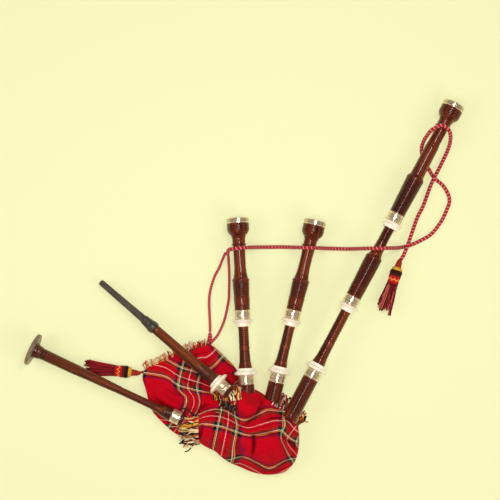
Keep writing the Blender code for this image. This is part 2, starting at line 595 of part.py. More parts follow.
def make_chanter():
    axis = pipe_frame("chanter", *PIPES["chanter"])
    stock("chanter_stock", SMALL_STOCK_RADIUS, SMALL_STOCK_BORE, CHANTER_STOCK_LENGTH,
          SMALL_FERRULE_RADIUS, axis)
    tenon = SMALL_STOCK_BORE - RUN
    tenon_hemp("chanter_tenon_hemp", tenon, TENON_LENGTH, SMALL_STOCK_BORE, axis)
    seat = CHANTER_LENGTH - SOLE_THICKNESS
    outline = [
        (SOLE_SPIGOT_RADIUS, CHANTER_LENGTH - 1 * MM), (SOLE_SPIGOT_RADIUS, seat - FIT),
        (17.5 * MM, seat - FIT),
        (16.6 * MM, seat - 5 * MM), (CHANTER_FOOT_RADIUS + 1.2 * MM, seat - 14 * MM),
        (CHANTER_FOOT_RADIUS, seat - 32 * MM), (CHANTER_FOOT_RADIUS - 0.4 * MM, seat - 90 * MM),
        (CHANTER_THROAT_RADIUS + 1.8 * MM, seat - 150 * MM), (CHANTER_THROAT_RADIUS, seat - 225 * MM),
        (CHANTER_THROAT_RADIUS, 52 * MM), (CHANTER_THROAT_RADIUS + 1.4 * MM, 34 * MM),
        (CHANTER_BULB_RADIUS - 2 * MM, 20 * MM), (CHANTER_BULB_RADIUS, 9 * MM),
        (CHANTER_BULB_RADIUS - 0.6 * MM, FIT), (tenon, FIT),
    ]
    reed_seat = -TENON_LENGTH + CHANTER_REED_SEAT
    outline += lapped_tenon(tenon, TENON_LENGTH, HEMP_WALL)[1:]
    outline += [
        (REED_RADIUS + FIT, -TENON_LENGTH), (REED_RADIUS + FIT, reed_seat),
        (CHANTER_THROAT_BORE, reed_seat + FIT), (CHANTER_FOOT_BORE, CHANTER_LENGTH - 1 * MM),
    ]
    body = turned("chanter", outline, axis, DARK_WOOD)
    for index in range(FINGER_HOLES + 1):
        height = seat - 60 * MM - index * HOLE_PITCH
        low = 0.0 if index < FINGER_HOLES else -30 * MM
        hole = cylinder_cutter("finger_hole", HOLE_RADIUS, low, low + 30 * MM, axis, 8)
        hole.rotation_euler = (math.pi / 2, 0.0, 0.0)
        hole.location = (0.0, 0.0, height + (0.0 if index < FINGER_HOLES else 0.5 * HOLE_PITCH))
        cut(body, hole)
    turned("chanter_sole", [
        (SOLE_RADIUS - 1.5 * MM, CHANTER_LENGTH), (SOLE_RADIUS, CHANTER_LENGTH - 2 * MM),
        (SOLE_RADIUS - 1 * MM, seat + 2.5 * MM), (SOLE_RADIUS - 8 * MM, seat),
        (SOLE_SPIGOT_RADIUS + FIT, seat),
        (SOLE_SPIGOT_RADIUS + FIT, CHANTER_LENGTH),
    ], axis, SOLE, ROUND + 8)
    high = reed_seat - FIT
    low = high - CHANTER_REED_LENGTH
    turned("chanter_reed", [
        (REED_RADIUS - 1 * MM, high), (REED_RADIUS, high - 2 * MM), (REED_RADIUS, high - 12 * MM),
        (REED_RADIUS + 1.2 * MM, high - 14 * MM), (REED_RADIUS + 1.2 * MM, high - 20 * MM),
        (REED_RADIUS, low), (REED_RADIUS - 1.2 * MM, low), (REED_BORE - 0.9 * MM, high),
    ], axis, CANE, SMALL_ROUND)


# ---------------------------------------------------------------- bag and cover

def outline_reach(angle):
    """Distance from the bag's centre to its outline at an angle, by a closed smooth curve through the
    outline's points in polar form."""
    corners = sorted(
        (math.atan2(y - BAG_CENTRE[1], x - BAG_CENTRE[0]), math.hypot(x - BAG_CENTRE[0], y - BAG_CENTRE[1]))
        for x, y in BAG_OUTLINE)
    angles = np.array([corner[0] for corner in corners])
    reaches = np.array([corner[1] for corner in corners])
    angles = np.concatenate([angles[-3:] - 2 * math.pi, angles, angles[:3] + 2 * math.pi])
    reaches = np.concatenate([reaches[-3:], reaches, reaches[:3]])
    fine = np.linspace(-math.pi, math.pi, 361)
    smooth = np.mean([np.interp(fine + shift, angles, reaches) for shift in (-0.06, -0.03, 0.0, 0.03,
                                                                             0.06)],
                     axis=0)
    return float(np.interp(angle, fine, smooth)) * MM


def bag_height(x, y):
    """Height of the cover over a point: a slack base, the main lobe, the side lobe and the neck ridge."""
    main = math.exp(-((((x - 38) / 100) ** 2 + ((y + 2) / 88) ** 2) ** 1.6))
    side = math.exp(-((((x + 128) / 82) ** 2 + ((y - 122) / 52) ** 2) ** 1.4))
    seat, foot = PIPES["chanter"]
    along = (seat - foot).normalized()
    offset = Vector((x, y, 0.0)) * MM - seat
    inward = offset.dot(along)
    across = (offset - inward * along).to_2d().length
    ridge = math.exp(-((across / (40 * MM)) ** 2)) / (1.0 + math.exp(-(inward - 40 * MM) / (7 * MM)))
    low = BAG_BASE_HEIGHT
    return max(low + (BODY_HEIGHT - low) * main, low + (SIDE_LOBE_HEIGHT - low) * side,
               low + (NECK_HEIGHT - low) * ridge)


def bag_shell(name, inset, wall, material):
    """A UV sphere shaped to the bag: its rings follow the outline, its top the height, its foot the table.
    The whole surface is then moved inwards by the inset, square to itself."""
    mesh = bpy.data.meshes.new(name)
    shape = bmesh.new()
    bmesh.ops.create_uvsphere(shape, u_segments=30, v_segments=12, radius=1.0)
    flat = 0.74
    for vert in shape.verts:
        x, y, z = vert.co
        ring = min(1.0, math.hypot(x, y))
        angle = math.atan2(y, x)
        reach = outline_reach(angle) * ring
        plan_x = BAG_CENTRE[0] * MM + reach * math.cos(angle)
        plan_y = BAG_CENTRE[1] * MM + reach * math.sin(angle)
        if z >= 0.0:
            height = BAG_RIM + (bag_height(plan_x / MM, plan_y / MM) - BAG_RIM) * abs(z) ** 0.85
        else:
            tuck = min(1.0, (1.0 - ring) / (1.0 - flat))
            height = BAG_RIM * (1.0 - math.sqrt(1.0 - (1.0 - tuck) ** 2))
        vert.co = (plan_x, plan_y, height)
    shape.normal_update()
    inner = [vert.co - inset * vert.normal for vert in shape.verts]
    for vert, place in zip(shape.verts, inner):
        vert.co = place
    shape.to_mesh(mesh)
    shape.free()
    obj = add_object(name, mesh, material)
    shell = obj.modifiers.new("wall", "SOLIDIFY")
    shell.thickness = wall
    shell.offset = -1.0
    for pipe, radius, length in (
            ("tenor_left", STOCK_RADIUS, TENOR_STOCK_LENGTH),
            ("tenor_right", STOCK_RADIUS, TENOR_STOCK_LENGTH),
            ("bass", STOCK_RADIUS, BASS_STOCK_LENGTH), ("blowpipe", SMALL_STOCK_RADIUS, BLOW_STOCK_LENGTH),
            ("chanter", SMALL_STOCK_RADIUS, CHANTER_STOCK_LENGTH)):
        axis = bpy.data.objects[pipe + "_axis"]
        cut(obj, cylinder_cutter(name + "_" + pipe + "_hole", radius + PASS, -length, 25 * MM, axis))
    return obj


# ---------------------------------------------------------------- cord and tassels

def smooth_route(route, count):
    """Points evenly spaced by length on a Catmull-Rom curve through the route."""
    knots = np.array(route, dtype=float) * MM
    padded = np.vstack([2 * knots[0] - knots[1], knots, 2 * knots[-1] - knots[-2]])
    fine = []
    for i in range(1, len(padded) - 2):
        a, b, c, d = padded[i - 1:i + 3]
        for t in np.linspace(0.0, 1.0, 24, endpoint=False):
            fine.append(0.5 * (2 * b + (c - a) * t + (2 * a - 5 * b + 4 * c - d) * t ** 2
                               + (3 * b - a - 3 * c + d) * t ** 3))
    fine.append(padded[-2])
    fine = np.array(fine)
    run = np.concatenate([[0.0], np.cumsum(np.linalg.norm(np.diff(fine, axis=0), axis=1))])
    even = np.linspace(0.0, run[-1], count)
    return np.stack([np.interp(even, run, fine[:, k]) for k in range(3)], axis=1)


def cord_run(name, route, count, radius):
    curve = bpy.data.curves.new(name, "CURVE")
    curve.dimensions = "3D"
    curve.bevel_depth = radius
    curve.bevel_resolution = 2
    curve.use_fill_caps = True
    points = smooth_route(route, count)
    spline = curve.splines.new("POLY")
    spline.points.add(count - 1)
    for point, place in zip(spline.points, points):
        point.co = (*place, 1.0)
    add_object(name, curve, CORD)


def tassel(name, place):
    """Knot, head, bound band and skirt as one turned body, flattened where it lies on the table."""
    start, along = place
    frame = pipe_frame(name, start, start + along.normalized() * TASSEL_LENGTH)
    head = TASSEL_HEAD_RADIUS
    skirt = TASSEL_SKIRT_RADIUS
    outline = [
        (0.0, TASSEL_LENGTH), (skirt - 3 * MM, TASSEL_LENGTH - 2 * MM), (skirt, TASSEL_LENGTH - 16 * MM),
        (head - 1 * MM, 52 * MM), (head - 2.4 * MM, 40 * MM), (head - 1 * MM, 36 * MM), (head, 24 * MM),
        (head - 2 * MM, 17 * MM), (7.5 * MM, 13 * MM), (6.6 * MM, 2 * MM), (4.5 * MM, 0.4 * MM),
        (0.0, 0.4 * MM),
    ]
    obj = turned(name, outline, frame, TASSEL, ROUND)
    obj.scale = (TASSEL_FLAT, 1.0, 1.0)


make_tenor("tenor_left")
make_tenor("tenor_right")
make_bass()
make_blowpipe()
make_chanter()
bpy.context.view_layer.update()
bag_shell("bag", HIDE_GAP, HIDE_WALL, HIDE)
bag_shell("bag_cover", 0.0, COVER_WALL, TARTAN)
cord_run("cord_main", MAIN_ROUTE, MAIN_POINTS, CORD_RADIUS)
cord_run("cord_left_outer", OUTER_ROUTE, OUTER_POINTS, THIN_CORD_RADIUS)
cord_run("cord_left_inner", INNER_ROUTE, INNER_POINTS, THIN_CORD_RADIUS)
tassel("tassel_right", RIGHT_TASSEL)
tassel("tassel_left", LEFT_TASSEL)
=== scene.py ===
# %% [markdown]
# # A Highland bagpipe on a table
# The frame is a packed set of bodies: stocks, drones, chanter, blowpipe, bag and cord. Every surface below
# is worked out with numpy round that frame. Lengths in this lesson are in metres unless a name ends in mm.

# %% Load the frame
import json
import math

import bpy
import numpy as np
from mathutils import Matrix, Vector


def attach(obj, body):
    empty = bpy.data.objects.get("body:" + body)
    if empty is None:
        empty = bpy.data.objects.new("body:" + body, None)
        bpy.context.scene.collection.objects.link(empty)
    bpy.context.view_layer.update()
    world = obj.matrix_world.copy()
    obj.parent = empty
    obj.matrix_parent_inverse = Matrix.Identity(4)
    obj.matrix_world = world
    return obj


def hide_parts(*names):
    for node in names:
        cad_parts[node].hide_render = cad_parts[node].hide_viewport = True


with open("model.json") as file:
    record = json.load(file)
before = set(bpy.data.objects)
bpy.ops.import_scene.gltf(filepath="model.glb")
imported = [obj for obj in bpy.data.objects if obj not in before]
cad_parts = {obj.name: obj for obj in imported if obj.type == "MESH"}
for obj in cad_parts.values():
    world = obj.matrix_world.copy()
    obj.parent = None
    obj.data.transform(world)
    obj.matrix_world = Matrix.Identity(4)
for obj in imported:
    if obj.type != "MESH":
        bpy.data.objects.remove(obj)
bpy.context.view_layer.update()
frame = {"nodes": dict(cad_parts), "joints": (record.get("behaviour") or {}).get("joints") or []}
MM = 0.001
rng = np.random.default_rng(7)

# %% [markdown]
# ## Camera, light and table
# The bagpipe lies flat and is seen from straight above, so the camera hangs over the middle of its box and
# looks down. A long narrow panel overhead draws the thin bright line along every polished pipe. Two wide
# ones at the sides show the folds of the cloth and leave no reflection in the polish. The room itself is
# pale with darker bands, as a ceiling with beams would be, because polished metal is only as lively as what
# it reflects. The table glows a little, which keeps the shadows on it faint.

# %% Camera
VIEW_CENTRE = (6.6 * MM, 402.6 * MM)
VIEW_WIDTH = 1.1
VIEW_LEVEL = 0.04
SENSOR_MM = 36.0
LENS_MM = 85.0
camera_data = bpy.data.cameras.new("camera")
camera_data.sensor_width = SENSOR_MM
camera_data.lens = LENS_MM
camera_data.dof.use_dof = False
camera = bpy.data.objects.new("camera", camera_data)
bpy.context.scene.collection.objects.link(camera)
camera.location = (*VIEW_CENTRE, VIEW_LEVEL + VIEW_WIDTH * LENS_MM / SENSOR_MM)
bpy.context.scene.camera = camera
print("camera height", round(camera.location.z, 3))


# %% Colours as sRGB hex, turned to linear
def linear(code):
    """sRGB hex to linear RGBA: c / 12.92 below 0.04045, else ((c + 0.055) / 1.055) to the power 2.4."""
    channels = np.array([int(code[i:i + 2], 16) for i in (0, 2, 4)]) / 255.0
    low = channels / 12.92
    high = ((channels + 0.055) / 1.055) ** 2.4
    return (*np.where(channels <= 0.04045, low, high).tolist(), 1.0)


def new_material(name, colour, roughness, metallic=0.0, **sockets):
    """A material and its shader, with a plain colour to start from; sockets are more of the shader's inputs,
    by name with _ for a space."""
    material = bpy.data.materials.new(name)
    material.use_nodes = True
    shader = material.node_tree.nodes["Principled BSDF"]
    shader.inputs["Base Color"].default_value = linear(colour)
    shader.inputs["Roughness"].default_value = roughness
    shader.inputs["Metallic"].default_value = metallic
    for key, value in sockets.items():
        shader.inputs[key.replace("_", " ")].default_value = value
    return material, shader


def node(material, kind, settings=None, **links):
    """Adds one shader node. settings are its properties, where stops are a ramp's (place, hex) and steps
    makes it stepped; links are its sockets, by name with _ for a space or as i and a number, each a value
    or another node's output."""
    made = material.node_tree.nodes.new("ShaderNode" + kind)
    for key, value in (settings or {}).items():
        if key == "stops":
            elements = made.color_ramp.elements
            for _ in range(len(value) - 2):
                elements.new(0.5)
            for element, (place, colour) in zip(elements, value):
                element.position = place
                element.color = linear(colour)
        elif key == "steps":
            made.color_ramp.interpolation = "CONSTANT"
        else:
            setattr(made, key, value)
    for key, value in links.items():
        by_number = key[0] == "i" and key[1:].isdigit()
        socket = made.inputs[int(key[1:]) if by_number else key.replace("_", " ")]
        if isinstance(value, bpy.types.NodeSocket):
            material.node_tree.links.new(value, socket)
        else:
            socket.default_value = value
    return made


def join(material, output, socket):
    material.node_tree.links.new(output, socket)


def dress(material, shader, colour, height, strength, distance=0.0002, roughness=None):
    """The last of every material: its colour, a bump from a height, and a roughness where that varies."""
    join(material, colour, shader.inputs["Base Color"])
    if roughness:
        join(material, roughness, shader.inputs["Roughness"])
    bump = node(material, "Bump", Strength=strength, Distance=distance, Height=height)
    join(material, bump.outputs["Normal"], shader.inputs["Normal"])


print("pale table", [round(c, 3) for c in linear("f8f7bf")[:3]])


# %% Table and lights
def area_light(name, place, aim, size, watts, mirrored=True):
    """A rectangular light; one that isn't mirrored lights a piece but leaves no reflection in its polish."""
    data = bpy.data.lights.new(name, "AREA")
    data.shape = "RECTANGLE"
    data.size, data.size_y = size
    data.energy = watts
    light = bpy.data.objects.new(name, data)
    bpy.context.scene.collection.objects.link(light)
    light.visible_glossy = mirrored
    light.location = place
    light.rotation_euler = (Vector(aim) - Vector(place)).to_track_quat("-Z", "Y").to_euler()


table_material, _ = new_material("painted board", "abaa82", 0.95, Emission_Color=linear("f8f7bf"),
                                 Emission_Strength=0.5)
TABLE_HALF = 6.0
TABLE_GAP = 0.6 * MM
corners = [(-TABLE_HALF, -TABLE_HALF, 0), (TABLE_HALF, -TABLE_HALF, 0), (TABLE_HALF, TABLE_HALF, 0),
           (-TABLE_HALF, TABLE_HALF, 0)]
table_mesh = bpy.data.meshes.new("table")
table_mesh.from_pydata(corners, [], [(0, 1, 2, 3)])
table_mesh.materials.append(table_material)
table = bpy.data.objects.new("table", table_mesh)
table.location = (0.0, 0.4, -TABLE_GAP)
bpy.context.scene.collection.objects.link(table)

aim = (*VIEW_CENTRE, 0.03)
area_light("key", (0.16, 0.6, 2.1), aim, (0.22, 1.7), 30.0)
area_light("fill", (1.5, -0.6, 1.8), aim, (1.2, 1.2), 17.0, mirrored=False)
area_light("left", (-1.7, 0.3, 1.7), aim, (1.2, 1.2), 17.0, mirrored=False)
world = bpy.data.worlds.new("room")
world.use_nodes = True
background = world.node_tree.nodes["Background"]
direction = node(world, "TexCoord").outputs["Generated"]
height = node(world, "SeparateXYZ", Vector=direction).outputs["Z"]
bands = node(world, "ValToRGB", Fac=height)
join(world, bands.outputs["Color"], background.inputs["Color"])
BEAMS = ((0.18, 0.75), (0.42, 1.0), (0.52, 0.25), (0.60, 1.0), (0.74, 0.2), (0.84, 1.0), (0.93, 0.05))
for place, shade in BEAMS:
    stop = bands.color_ramp.elements.new(place)
    stop.color = (shade, 0.97 * shade, 0.9 * shade, 1.0)
bands.color_ramp.elements[0].color = (0.5, 0.46, 0.4, 1.0)
bands.color_ramp.elements[-1].color = (0.6, 0.56, 0.5, 1.0)
background.inputs["Strength"].default_value = 0.5
bpy.context.scene.world = world

# %% [markdown]
# ## One grid, many surfaces
# Every new piece is a grid of points: a function of two parameters worked out as whole arrays. One helper
# turns the grid into a mesh, with quads between neighbours, a UV map in metres, and the grid wrapped round
# where the surface closes on itself.


# %% Grid to mesh
def grid_faces(rows, columns, wrap_rows, wrap_columns):
    """Quads between neighbouring points: (i, j), (i+1, j), (i+1, j+1), (i, j+1), wrapped where asked."""
    i = np.arange(rows if wrap_rows else rows - 1)
    j = np.arange(columns if wrap_columns else columns - 1)
    i, j = np.meshgrid(i, j, indexing="ij")
    i, j = i.ravel(), j.ravel()
    k, l = (i + 1) % rows, (j + 1) % columns
    corners = np.stack([i * columns + j, k * columns + j, k * columns + l, i * columns + l], axis=1)
    steps = np.stack([np.stack([i, j], 1), np.stack([i + 1, j], 1), np.stack([i + 1, j + 1], 1),
                      np.stack([i, j + 1], 1)], axis=1)
    return corners, steps


def mesh_from_arrays(name, points, faces, uvs=None, extras=None, smooth_angle=math.radians(38)):
    """Points (n, 3) and quads (m, 4) as a mesh, with uvs (m, 4, 2) and vector attributes on points."""
    mesh = bpy.data.meshes.new(name)
    mesh.vertices.add(len(points))
    mesh.vertices.foreach_set("co", np.ascontiguousarray(points, np.float32).ravel())
    sides = faces.shape[1]
    mesh.loops.add(faces.size)
    mesh.loops.foreach_set("vertex_index", faces.astype(np.int32).ravel())
    mesh.polygons.add(len(faces))
    mesh.polygons.foreach_set("loop_start", np.arange(0, faces.size, sides, dtype=np.int32))
    if uvs is not None:
        layer = mesh.uv_layers.new(name="cloth")
        layer.data.foreach_set("uv", np.ascontiguousarray(uvs, np.float32).ravel())
    for key, values in (extras or {}).items():
        attribute = mesh.attributes.new(key, "FLOAT_VECTOR", "POINT")
        attribute.data.foreach_set("vector", np.ascontiguousarray(values, np.float32).ravel())
    mesh.update()
    mesh.validate()
    mesh.shade_smooth()
    mesh.set_sharp_from_angle(angle=smooth_angle)
    return mesh


def add_piece(name, mesh, material, body, replaced=()):
    """Puts a finished mesh in the scene, riding on a body and standing for its CAD nodes."""
    mesh.materials.append(material)
    piece = bpy.data.objects.new(name, mesh)
    bpy.context.scene.collection.objects.link(piece)
    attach(piece, body)
    if replaced:
        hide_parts(*replaced)
    return piece


print("a 3 by 4 tube has", len(grid_faces(3, 4, False, True)[0]), "quads")

# %% [markdown]
# ## Where each pipe lies
# Each pipe turns about its own axis in its stock, and the frame's joints say where that axis is. A pipe's
# frame has its origin at the mouth of the stock and its third axis along the pipe to the free end.


# %% Pipe frames
def pipe_frame(joint_name):
    """Origin and three axes of a pipe: across and upwards, across and level, along."""
    joint = next(j for j in frame["joints"] if j["name"] == joint_name)
    along = np.array(joint["axis"], float)
    along /= np.linalg.norm(along)
    level = np.cross([0.0, 0.0, 1.0], along)
    level /= np.linalg.norm(level)
    up = np.cross(along, level)
    return np.array(joint["pos_m"], float), up, level, along


PIPE_NAMES = ("tenor_left", "tenor_right", "bass", "blowpipe", "chanter")
PIPE = {name: pipe_frame(name + "_turn") for name in PIPE_NAMES}
for pipe_name, (origin, _, _, along) in PIPE.items():
    print(pipe_name, origin.round(4), along.round(3))

# %% [markdown]
# ## Turned pieces
# A turner works a spinning blank with a gouge: the shape is one profile, and every detail is a ring. A
# profile here is the radius as a function of distance along the pipe: coves and hollows by easing between
# a few sizes, beads as half circles set on top, and combing, the rows of fine grooves, cut in by a wave.


# %% Profiles
def eased(z, stops):
    """Radius along z through (z, radius) stops with a half-cosine between neighbours, as a cove is cut."""
    stops = sorted(stops)
    heights = np.array([s[0] for s in stops]) * MM
    radii = np.array([s[1] for s in stops]) * MM
    i = np.clip(np.searchsorted(heights, z, side="right") - 1, 0, len(stops) - 2)
    t = np.clip((z - heights[i]) / (heights[i + 1] - heights[i]), 0.0, 1.0)
    return radii[i] + (radii[i + 1] - radii[i]) * (0.5 - 0.5 * np.cos(math.pi * t))


def beaded(z, radius, beads):
    """Adds beads (place, height, width): a half ellipse of that width standing on the profile."""
    for place, height, width in beads:
        t = (z - place * MM) / (0.5 * width * MM)
        radius = radius + height * MM * np.sqrt(np.clip(1.0 - t ** 2, 0.0, None))
    return radius


def combed(z, radius, combs, pitch=4.3, depth=0.7):
    """Cuts rows of grooves between pairs of places: rounded ridges a pitch apart, by |cos|."""
    for low, high in combs:
        inside = (z > low * MM) & (z < high * MM)
        count = max(1, round((high - low) / pitch))
        wave = np.abs(np.cos(math.pi * count * (z / MM - low) / (high - low)))
        radius = np.where(inside, radius - depth * MM * wave ** 2, radius)
    return radius


def turned(name, pipe, body, material, low, high, stops, bore, beads=(), combs=(), replaced=(),
           step=0.7, segments=56, dents=()):
    """Turns a profile round a pipe's axis. low and high are its ends, bore the (radius, z) points back
    through it from the high end to the low end, all in millimetres. Point = origin + r cos a up +
    r sin a level + z along. Dents are (z, angle, radius, depth), pressed into the outside."""
    count = max(8, int((high - low) / step))
    z = np.linspace(low, high, count) * MM
    plain = beaded(z, eased(z, stops), beads)
    radius = combed(z, plain, combs)
    groove = np.concatenate([(plain - radius) / (0.7 * MM), np.zeros(len(bore))])
    inner = np.array(bore, float) * MM
    ring_r = np.concatenate([radius, inner[:, 0]])
    ring_z = np.concatenate([z, inner[:, 1]])
    angle = np.arange(segments) * 2 * math.pi / segments
    origin, up, level, along = PIPE[pipe]
    h = np.repeat(ring_z[:, None], segments, axis=1)
    r = np.repeat(ring_r[:, None], segments, axis=1)
    for place, turn, size, depth in dents:
        around_dent = r * ((angle - turn + math.pi) % (2 * math.pi) - math.pi)
        away = np.clip(np.hypot(h - place * MM, around_dent) / (size * MM), 0.0, 1.0)
        outside = (np.arange(len(r)) < count)[:, None]
        r = r - outside * depth * MM * (1 - away ** 2) ** 2
    x, y = r * np.cos(angle), r * np.sin(angle)
    points = origin + x[..., None] * up + y[..., None] * level + h[..., None] * along
    faces, steps = grid_faces(len(ring_r), segments, True, True)
    faces, steps = faces[:, ::-1], steps[:, ::-1]
    around = steps[..., 1] * 2 * math.pi / segments * radius.max()
    along_uv = ring_z[steps[..., 0] % len(ring_r)]
    local = np.stack([x, y, h], axis=-1).reshape(-1, 3)
    grooves = np.repeat(np.repeat(groove, segments)[:, None], 3, axis=1)
    mesh = mesh_from_arrays(name, points.reshape(-1, 3), faces, np.stack([around, along_uv], -1),
                            {"pipe": local, "groove": grooves})
    return add_piece(name, mesh, material, body, replaced)


print("radius half way through a cove", eased(np.array([5 * MM]), [(0, 10), (10, 20)]))

# %% [markdown]
# ## Rosewood, polished
# The pipes are rosewood: a hard, oily, red-brown timber with darker streaks along its length, turned and
# then polished with oil and lacquer. The streaks are noise stretched along the pipe, read from each piece's
# own pipe coordinates so that the grain follows the blank, and a thin coat gives the sharp highlight. The
# combed grooves are painted darker than the ridges beside them: partly painted shade, partly old polish
# and dirt.


# %% Rosewood
MULTIPLY = {"data_type": "RGBA", "blend_type": "MULTIPLY"}


def wood(name, dark, middle, light, streak_mm=2.4, roughness=0.3):
    """Streaks a few millimetres across and forty times as long, with fine pores on top."""
    material, shader = new_material(name, middle, roughness, Specular_IOR_Level=0.08, Coat_Weight=0.6,
                                    Coat_Roughness=0.05)
    place = node(material, "Attribute", {"attribute_name": "pipe"}).outputs["Vector"]
    across, lengthways = 1.0 / (streak_mm * MM), 1.0 / (streak_mm * 40 * MM)
    stretched = node(material, "Mapping", Vector=place, Scale=(across, across, lengthways)).outputs["Vector"]
    figure = node(material, "TexNoise", Vector=stretched, Scale=0.35, Detail=5.0, Roughness=0.62,
                  Distortion=0.6).outputs["Fac"]
    stops = [(0.30, dark), (0.52, middle), (0.72, light)]
    colour = node(material, "ValToRGB", {"stops": stops}, Fac=figure).outputs["Color"]
    pores = node(material, "TexNoise", Vector=stretched, Scale=2.6, Detail=2.0).outputs["Fac"]
    shade = node(material, "MapRange", Value=pores, i1=0.35, i2=0.65, i3=0.72, i4=1.08).outputs["Result"]
    mixed = node(material, "Mix", MULTIPLY, i0=1.0, i6=colour, i7=shade).outputs[2]
    groove = node(material, "Attribute", {"attribute_name": "groove"}).outputs["Fac"]
    # The combed grooves are painted darker: partly painted shade, partly old polish and dirt.
    groove_dirt_and_shade = node(material, "MapRange", Value=groove, i3=1.15, i4=0.3).outputs["Result"]
    dirt_and_shade_lined = node(material, "Mix", MULTIPLY, i0=1.0, i6=mixed, i7=groove_dirt_and_shade).outputs[2]
    wear = node(material, "MapRange", Value=figure, i1=0.3, i2=0.7, i3=roughness - 0.07, i4=roughness + 0.1)
    dress(material, shader, dirt_and_shade_lined, pores, 0.25, roughness=wear.outputs["Result"])
    return material


ROSEWOOD = wood("polished rosewood", "2a0900", "5a1a03", "8f3c0b")
OLD_ROSEWOOD = wood("rosewood darkened by hands", "260b01", "4e1b05", "7e380f", roughness=0.34)
print("woods", ROSEWOOD.name, OLD_ROSEWOOD.name)

# %% [markdown]
# ## Engraved nickel
# Ferrules and ring caps are nickel silver, spun to a thin sleeve, engraved with a running scroll and
# polished. The scroll is two waves that cross, cut as grooves, with fine beads near each edge.


# %% Nickel
SCROLL_SWING = 0.28


def engraved_nickel(name, band_low, band_high, wave_mm=8.0):
    """Polished metal with a crossing scroll between two heights of the pipe, worked out as waves:
    groove where |z - middle - swing sin(k a)| is small, for two opposite swings."""
    material, shader = new_material(name, "efd6b2", 0.17, 0.8)
    parts = node(material, "SeparateXYZ", Vector=node(material, "UVMap", {"uv_map": "cloth"}).outputs["UV"])
    middle = 0.5 * (band_low + band_high) * MM
    swing = SCROLL_SWING * (band_high - band_low) * MM
    waves = 2 * math.pi / (wave_mm * MM)
    turn = node(material, "Math", {"operation": "MULTIPLY"}, i0=parts.outputs["X"], i1=waves)
    wave = node(material, "Math", {"operation": "SINE"}, i0=turn.outputs[0]).outputs[0]
    offset = node(material, "Math", {"operation": "SUBTRACT"}, i0=parts.outputs["Y"], i1=middle).outputs[0]
    grooves = []
    for sign in (1.0, -1.0):
        centre = node(material, "Math", {"operation": "MULTIPLY_ADD"}, i0=wave, i1=sign * swing, i2=offset)
        gap = node(material, "Math", {"operation": "ABSOLUTE"}, i0=centre.outputs[0]).outputs[0]
        grooves.append(node(material, "MapRange", Value=gap, i1=0.0005, i2=0.0012).outputs[0])
    both = node(material, "Math", {"operation": "MINIMUM"}, i0=grooves[0], i1=grooves[1]).outputs[0]
    # The warm tint of both colours is partly the nickel's own and partly a painted reflection of the pale
    # yellow table.
    colour = node(material, "Mix", {"data_type": "RGBA"}, i0=both, i6=linear("8a7354"), i7=linear("f0d8b4"))
    rough = node(material, "MapRange", Value=both, i3=0.3, i4=0.14).outputs[0]
    dress(material, shader, colour.outputs[2], both, 0.3, roughness=rough)
    return material


print("scroll wave in a ferrule", round(SCROLL_SWING * (17.8 - 2.2), 2), "mm")

# %% [markdown]
# ## Imitation ivory, plastic and the sole
# Mounts are cast resin turned like ivory: cream, faintly streaked, glossy. The mouthpiece is black
# moulded plastic rubbed grey by use. The sole is a horn-like resin with turned rings.


# %% Resins and plastic
def resin(name, low, high, roughness, streak=18.0, coat=0.3, **sockets):
    """A cast resin: two close colours clouded by noise, with slight unevenness in its gloss."""
    material, shader = new_material(name, high, roughness, Coat_Weight=coat, **sockets)
    place = node(material, "Attribute", {"attribute_name": "pipe"}).outputs["Vector"]
    scale = 1.0 / (streak * MM)
    cloud = node(material, "TexNoise", Vector=place, Scale=scale, Detail=4.0, Distortion=1.2).outputs["Fac"]
    colour = node(material, "ValToRGB", {"stops": [(0.3, low), (0.62, high)]}, Fac=cloud).outputs["Color"]
    rough = node(material, "MapRange", Value=cloud, i3=roughness + 0.08, i4=roughness - 0.06).outputs[0]
    scratch = node(material, "TexNoise", Vector=place, Scale=900.0, Detail=2.0).outputs["Fac"]
    dress(material, shader, colour, scratch, 0.12, 0.0001, rough)
    return material


IVORY = resin("cast imitation ivory", "e6cfa8", "fbf1e0", 0.32, Subsurface_Weight=0.08,
              Subsurface_Radius=(0.004, 0.003, 0.002))
BLACK_PLASTIC = resin("rubbed black plastic", "2b241c", "4a4032", 0.38, 30.0, 0.1)
SOLE_RESIN = resin("turned sole resin", "5c4831", "836a4b", 0.36, 9.0, 0.15)
print("resins", IVORY.name, BLACK_PLASTIC.name, SOLE_RESIN.name)


# %% Hidden materials: hemp, cane and hide
def fibrous(name, low, high, scale, roughness):
    """A matt fibre: two colours by fine noise in the object's own place, with a bump of the same noise."""
    material, shader = new_material(name, high, roughness)
    place = node(material, "TexCoord").outputs["Object"]
    noise = node(material, "TexNoise", Vector=place, Scale=scale, Detail=6.0).outputs["Fac"]
    colour = node(material, "ValToRGB", {"stops": [(0.35, low), (0.65, high)]}, Fac=noise).outputs["Color"]
    dress(material, shader, colour, noise, 0.5, 0.0004)
    return material


HEMP = fibrous("waxed hemp thread", "6d5222", "a8863f", 1400.0, 0.75)
CANE = fibrous("split reed cane", "a58a45", "d2bd76", 500.0, 0.5)
HIDE = fibrous("tanned hide", "6b4c30", "93704b", 160.0, 0.7)
for name, cad_object in frame["nodes"].items():
    for word, finish in (("hemp", HEMP), ("reed", CANE), ("bag", HIDE), ("valve_flap", HIDE)):
        if word in name and name != "bag_cover":
            cad_object.data.materials.clear()
            cad_object.data.materials.append(finish)
print("hidden pieces given a finish")

# %% [markdown]
# ## Drones
# The two tenors are the same instrument twice, and the bass is the same idea in three joints. From the
# stock outwards come: a projecting mount, a waisted joint with its tuning pin, then a joint that slides on
# that pin, with a mount and a ferrule at its foot, a combed body, a slim neck for the cord, a bead and a
# bell with a nickel cap.

# %% Sizes the drones share, in millimetres
FERRULE_LONG = 20.0
MOUNT_LONG = 16.0
PIN_IN_TOP = 46.0
BELL_END_GAP = 3.3
PIN_BORE = 12.3
BAND_EDGE = 2.2


def told_from(place, rows):
    """Rows of (distance, ...) measured from a place on the pipe, such as its end, as rows of (z, ...)."""
    return [(place + row[0], *row[1:]) for row in rows]


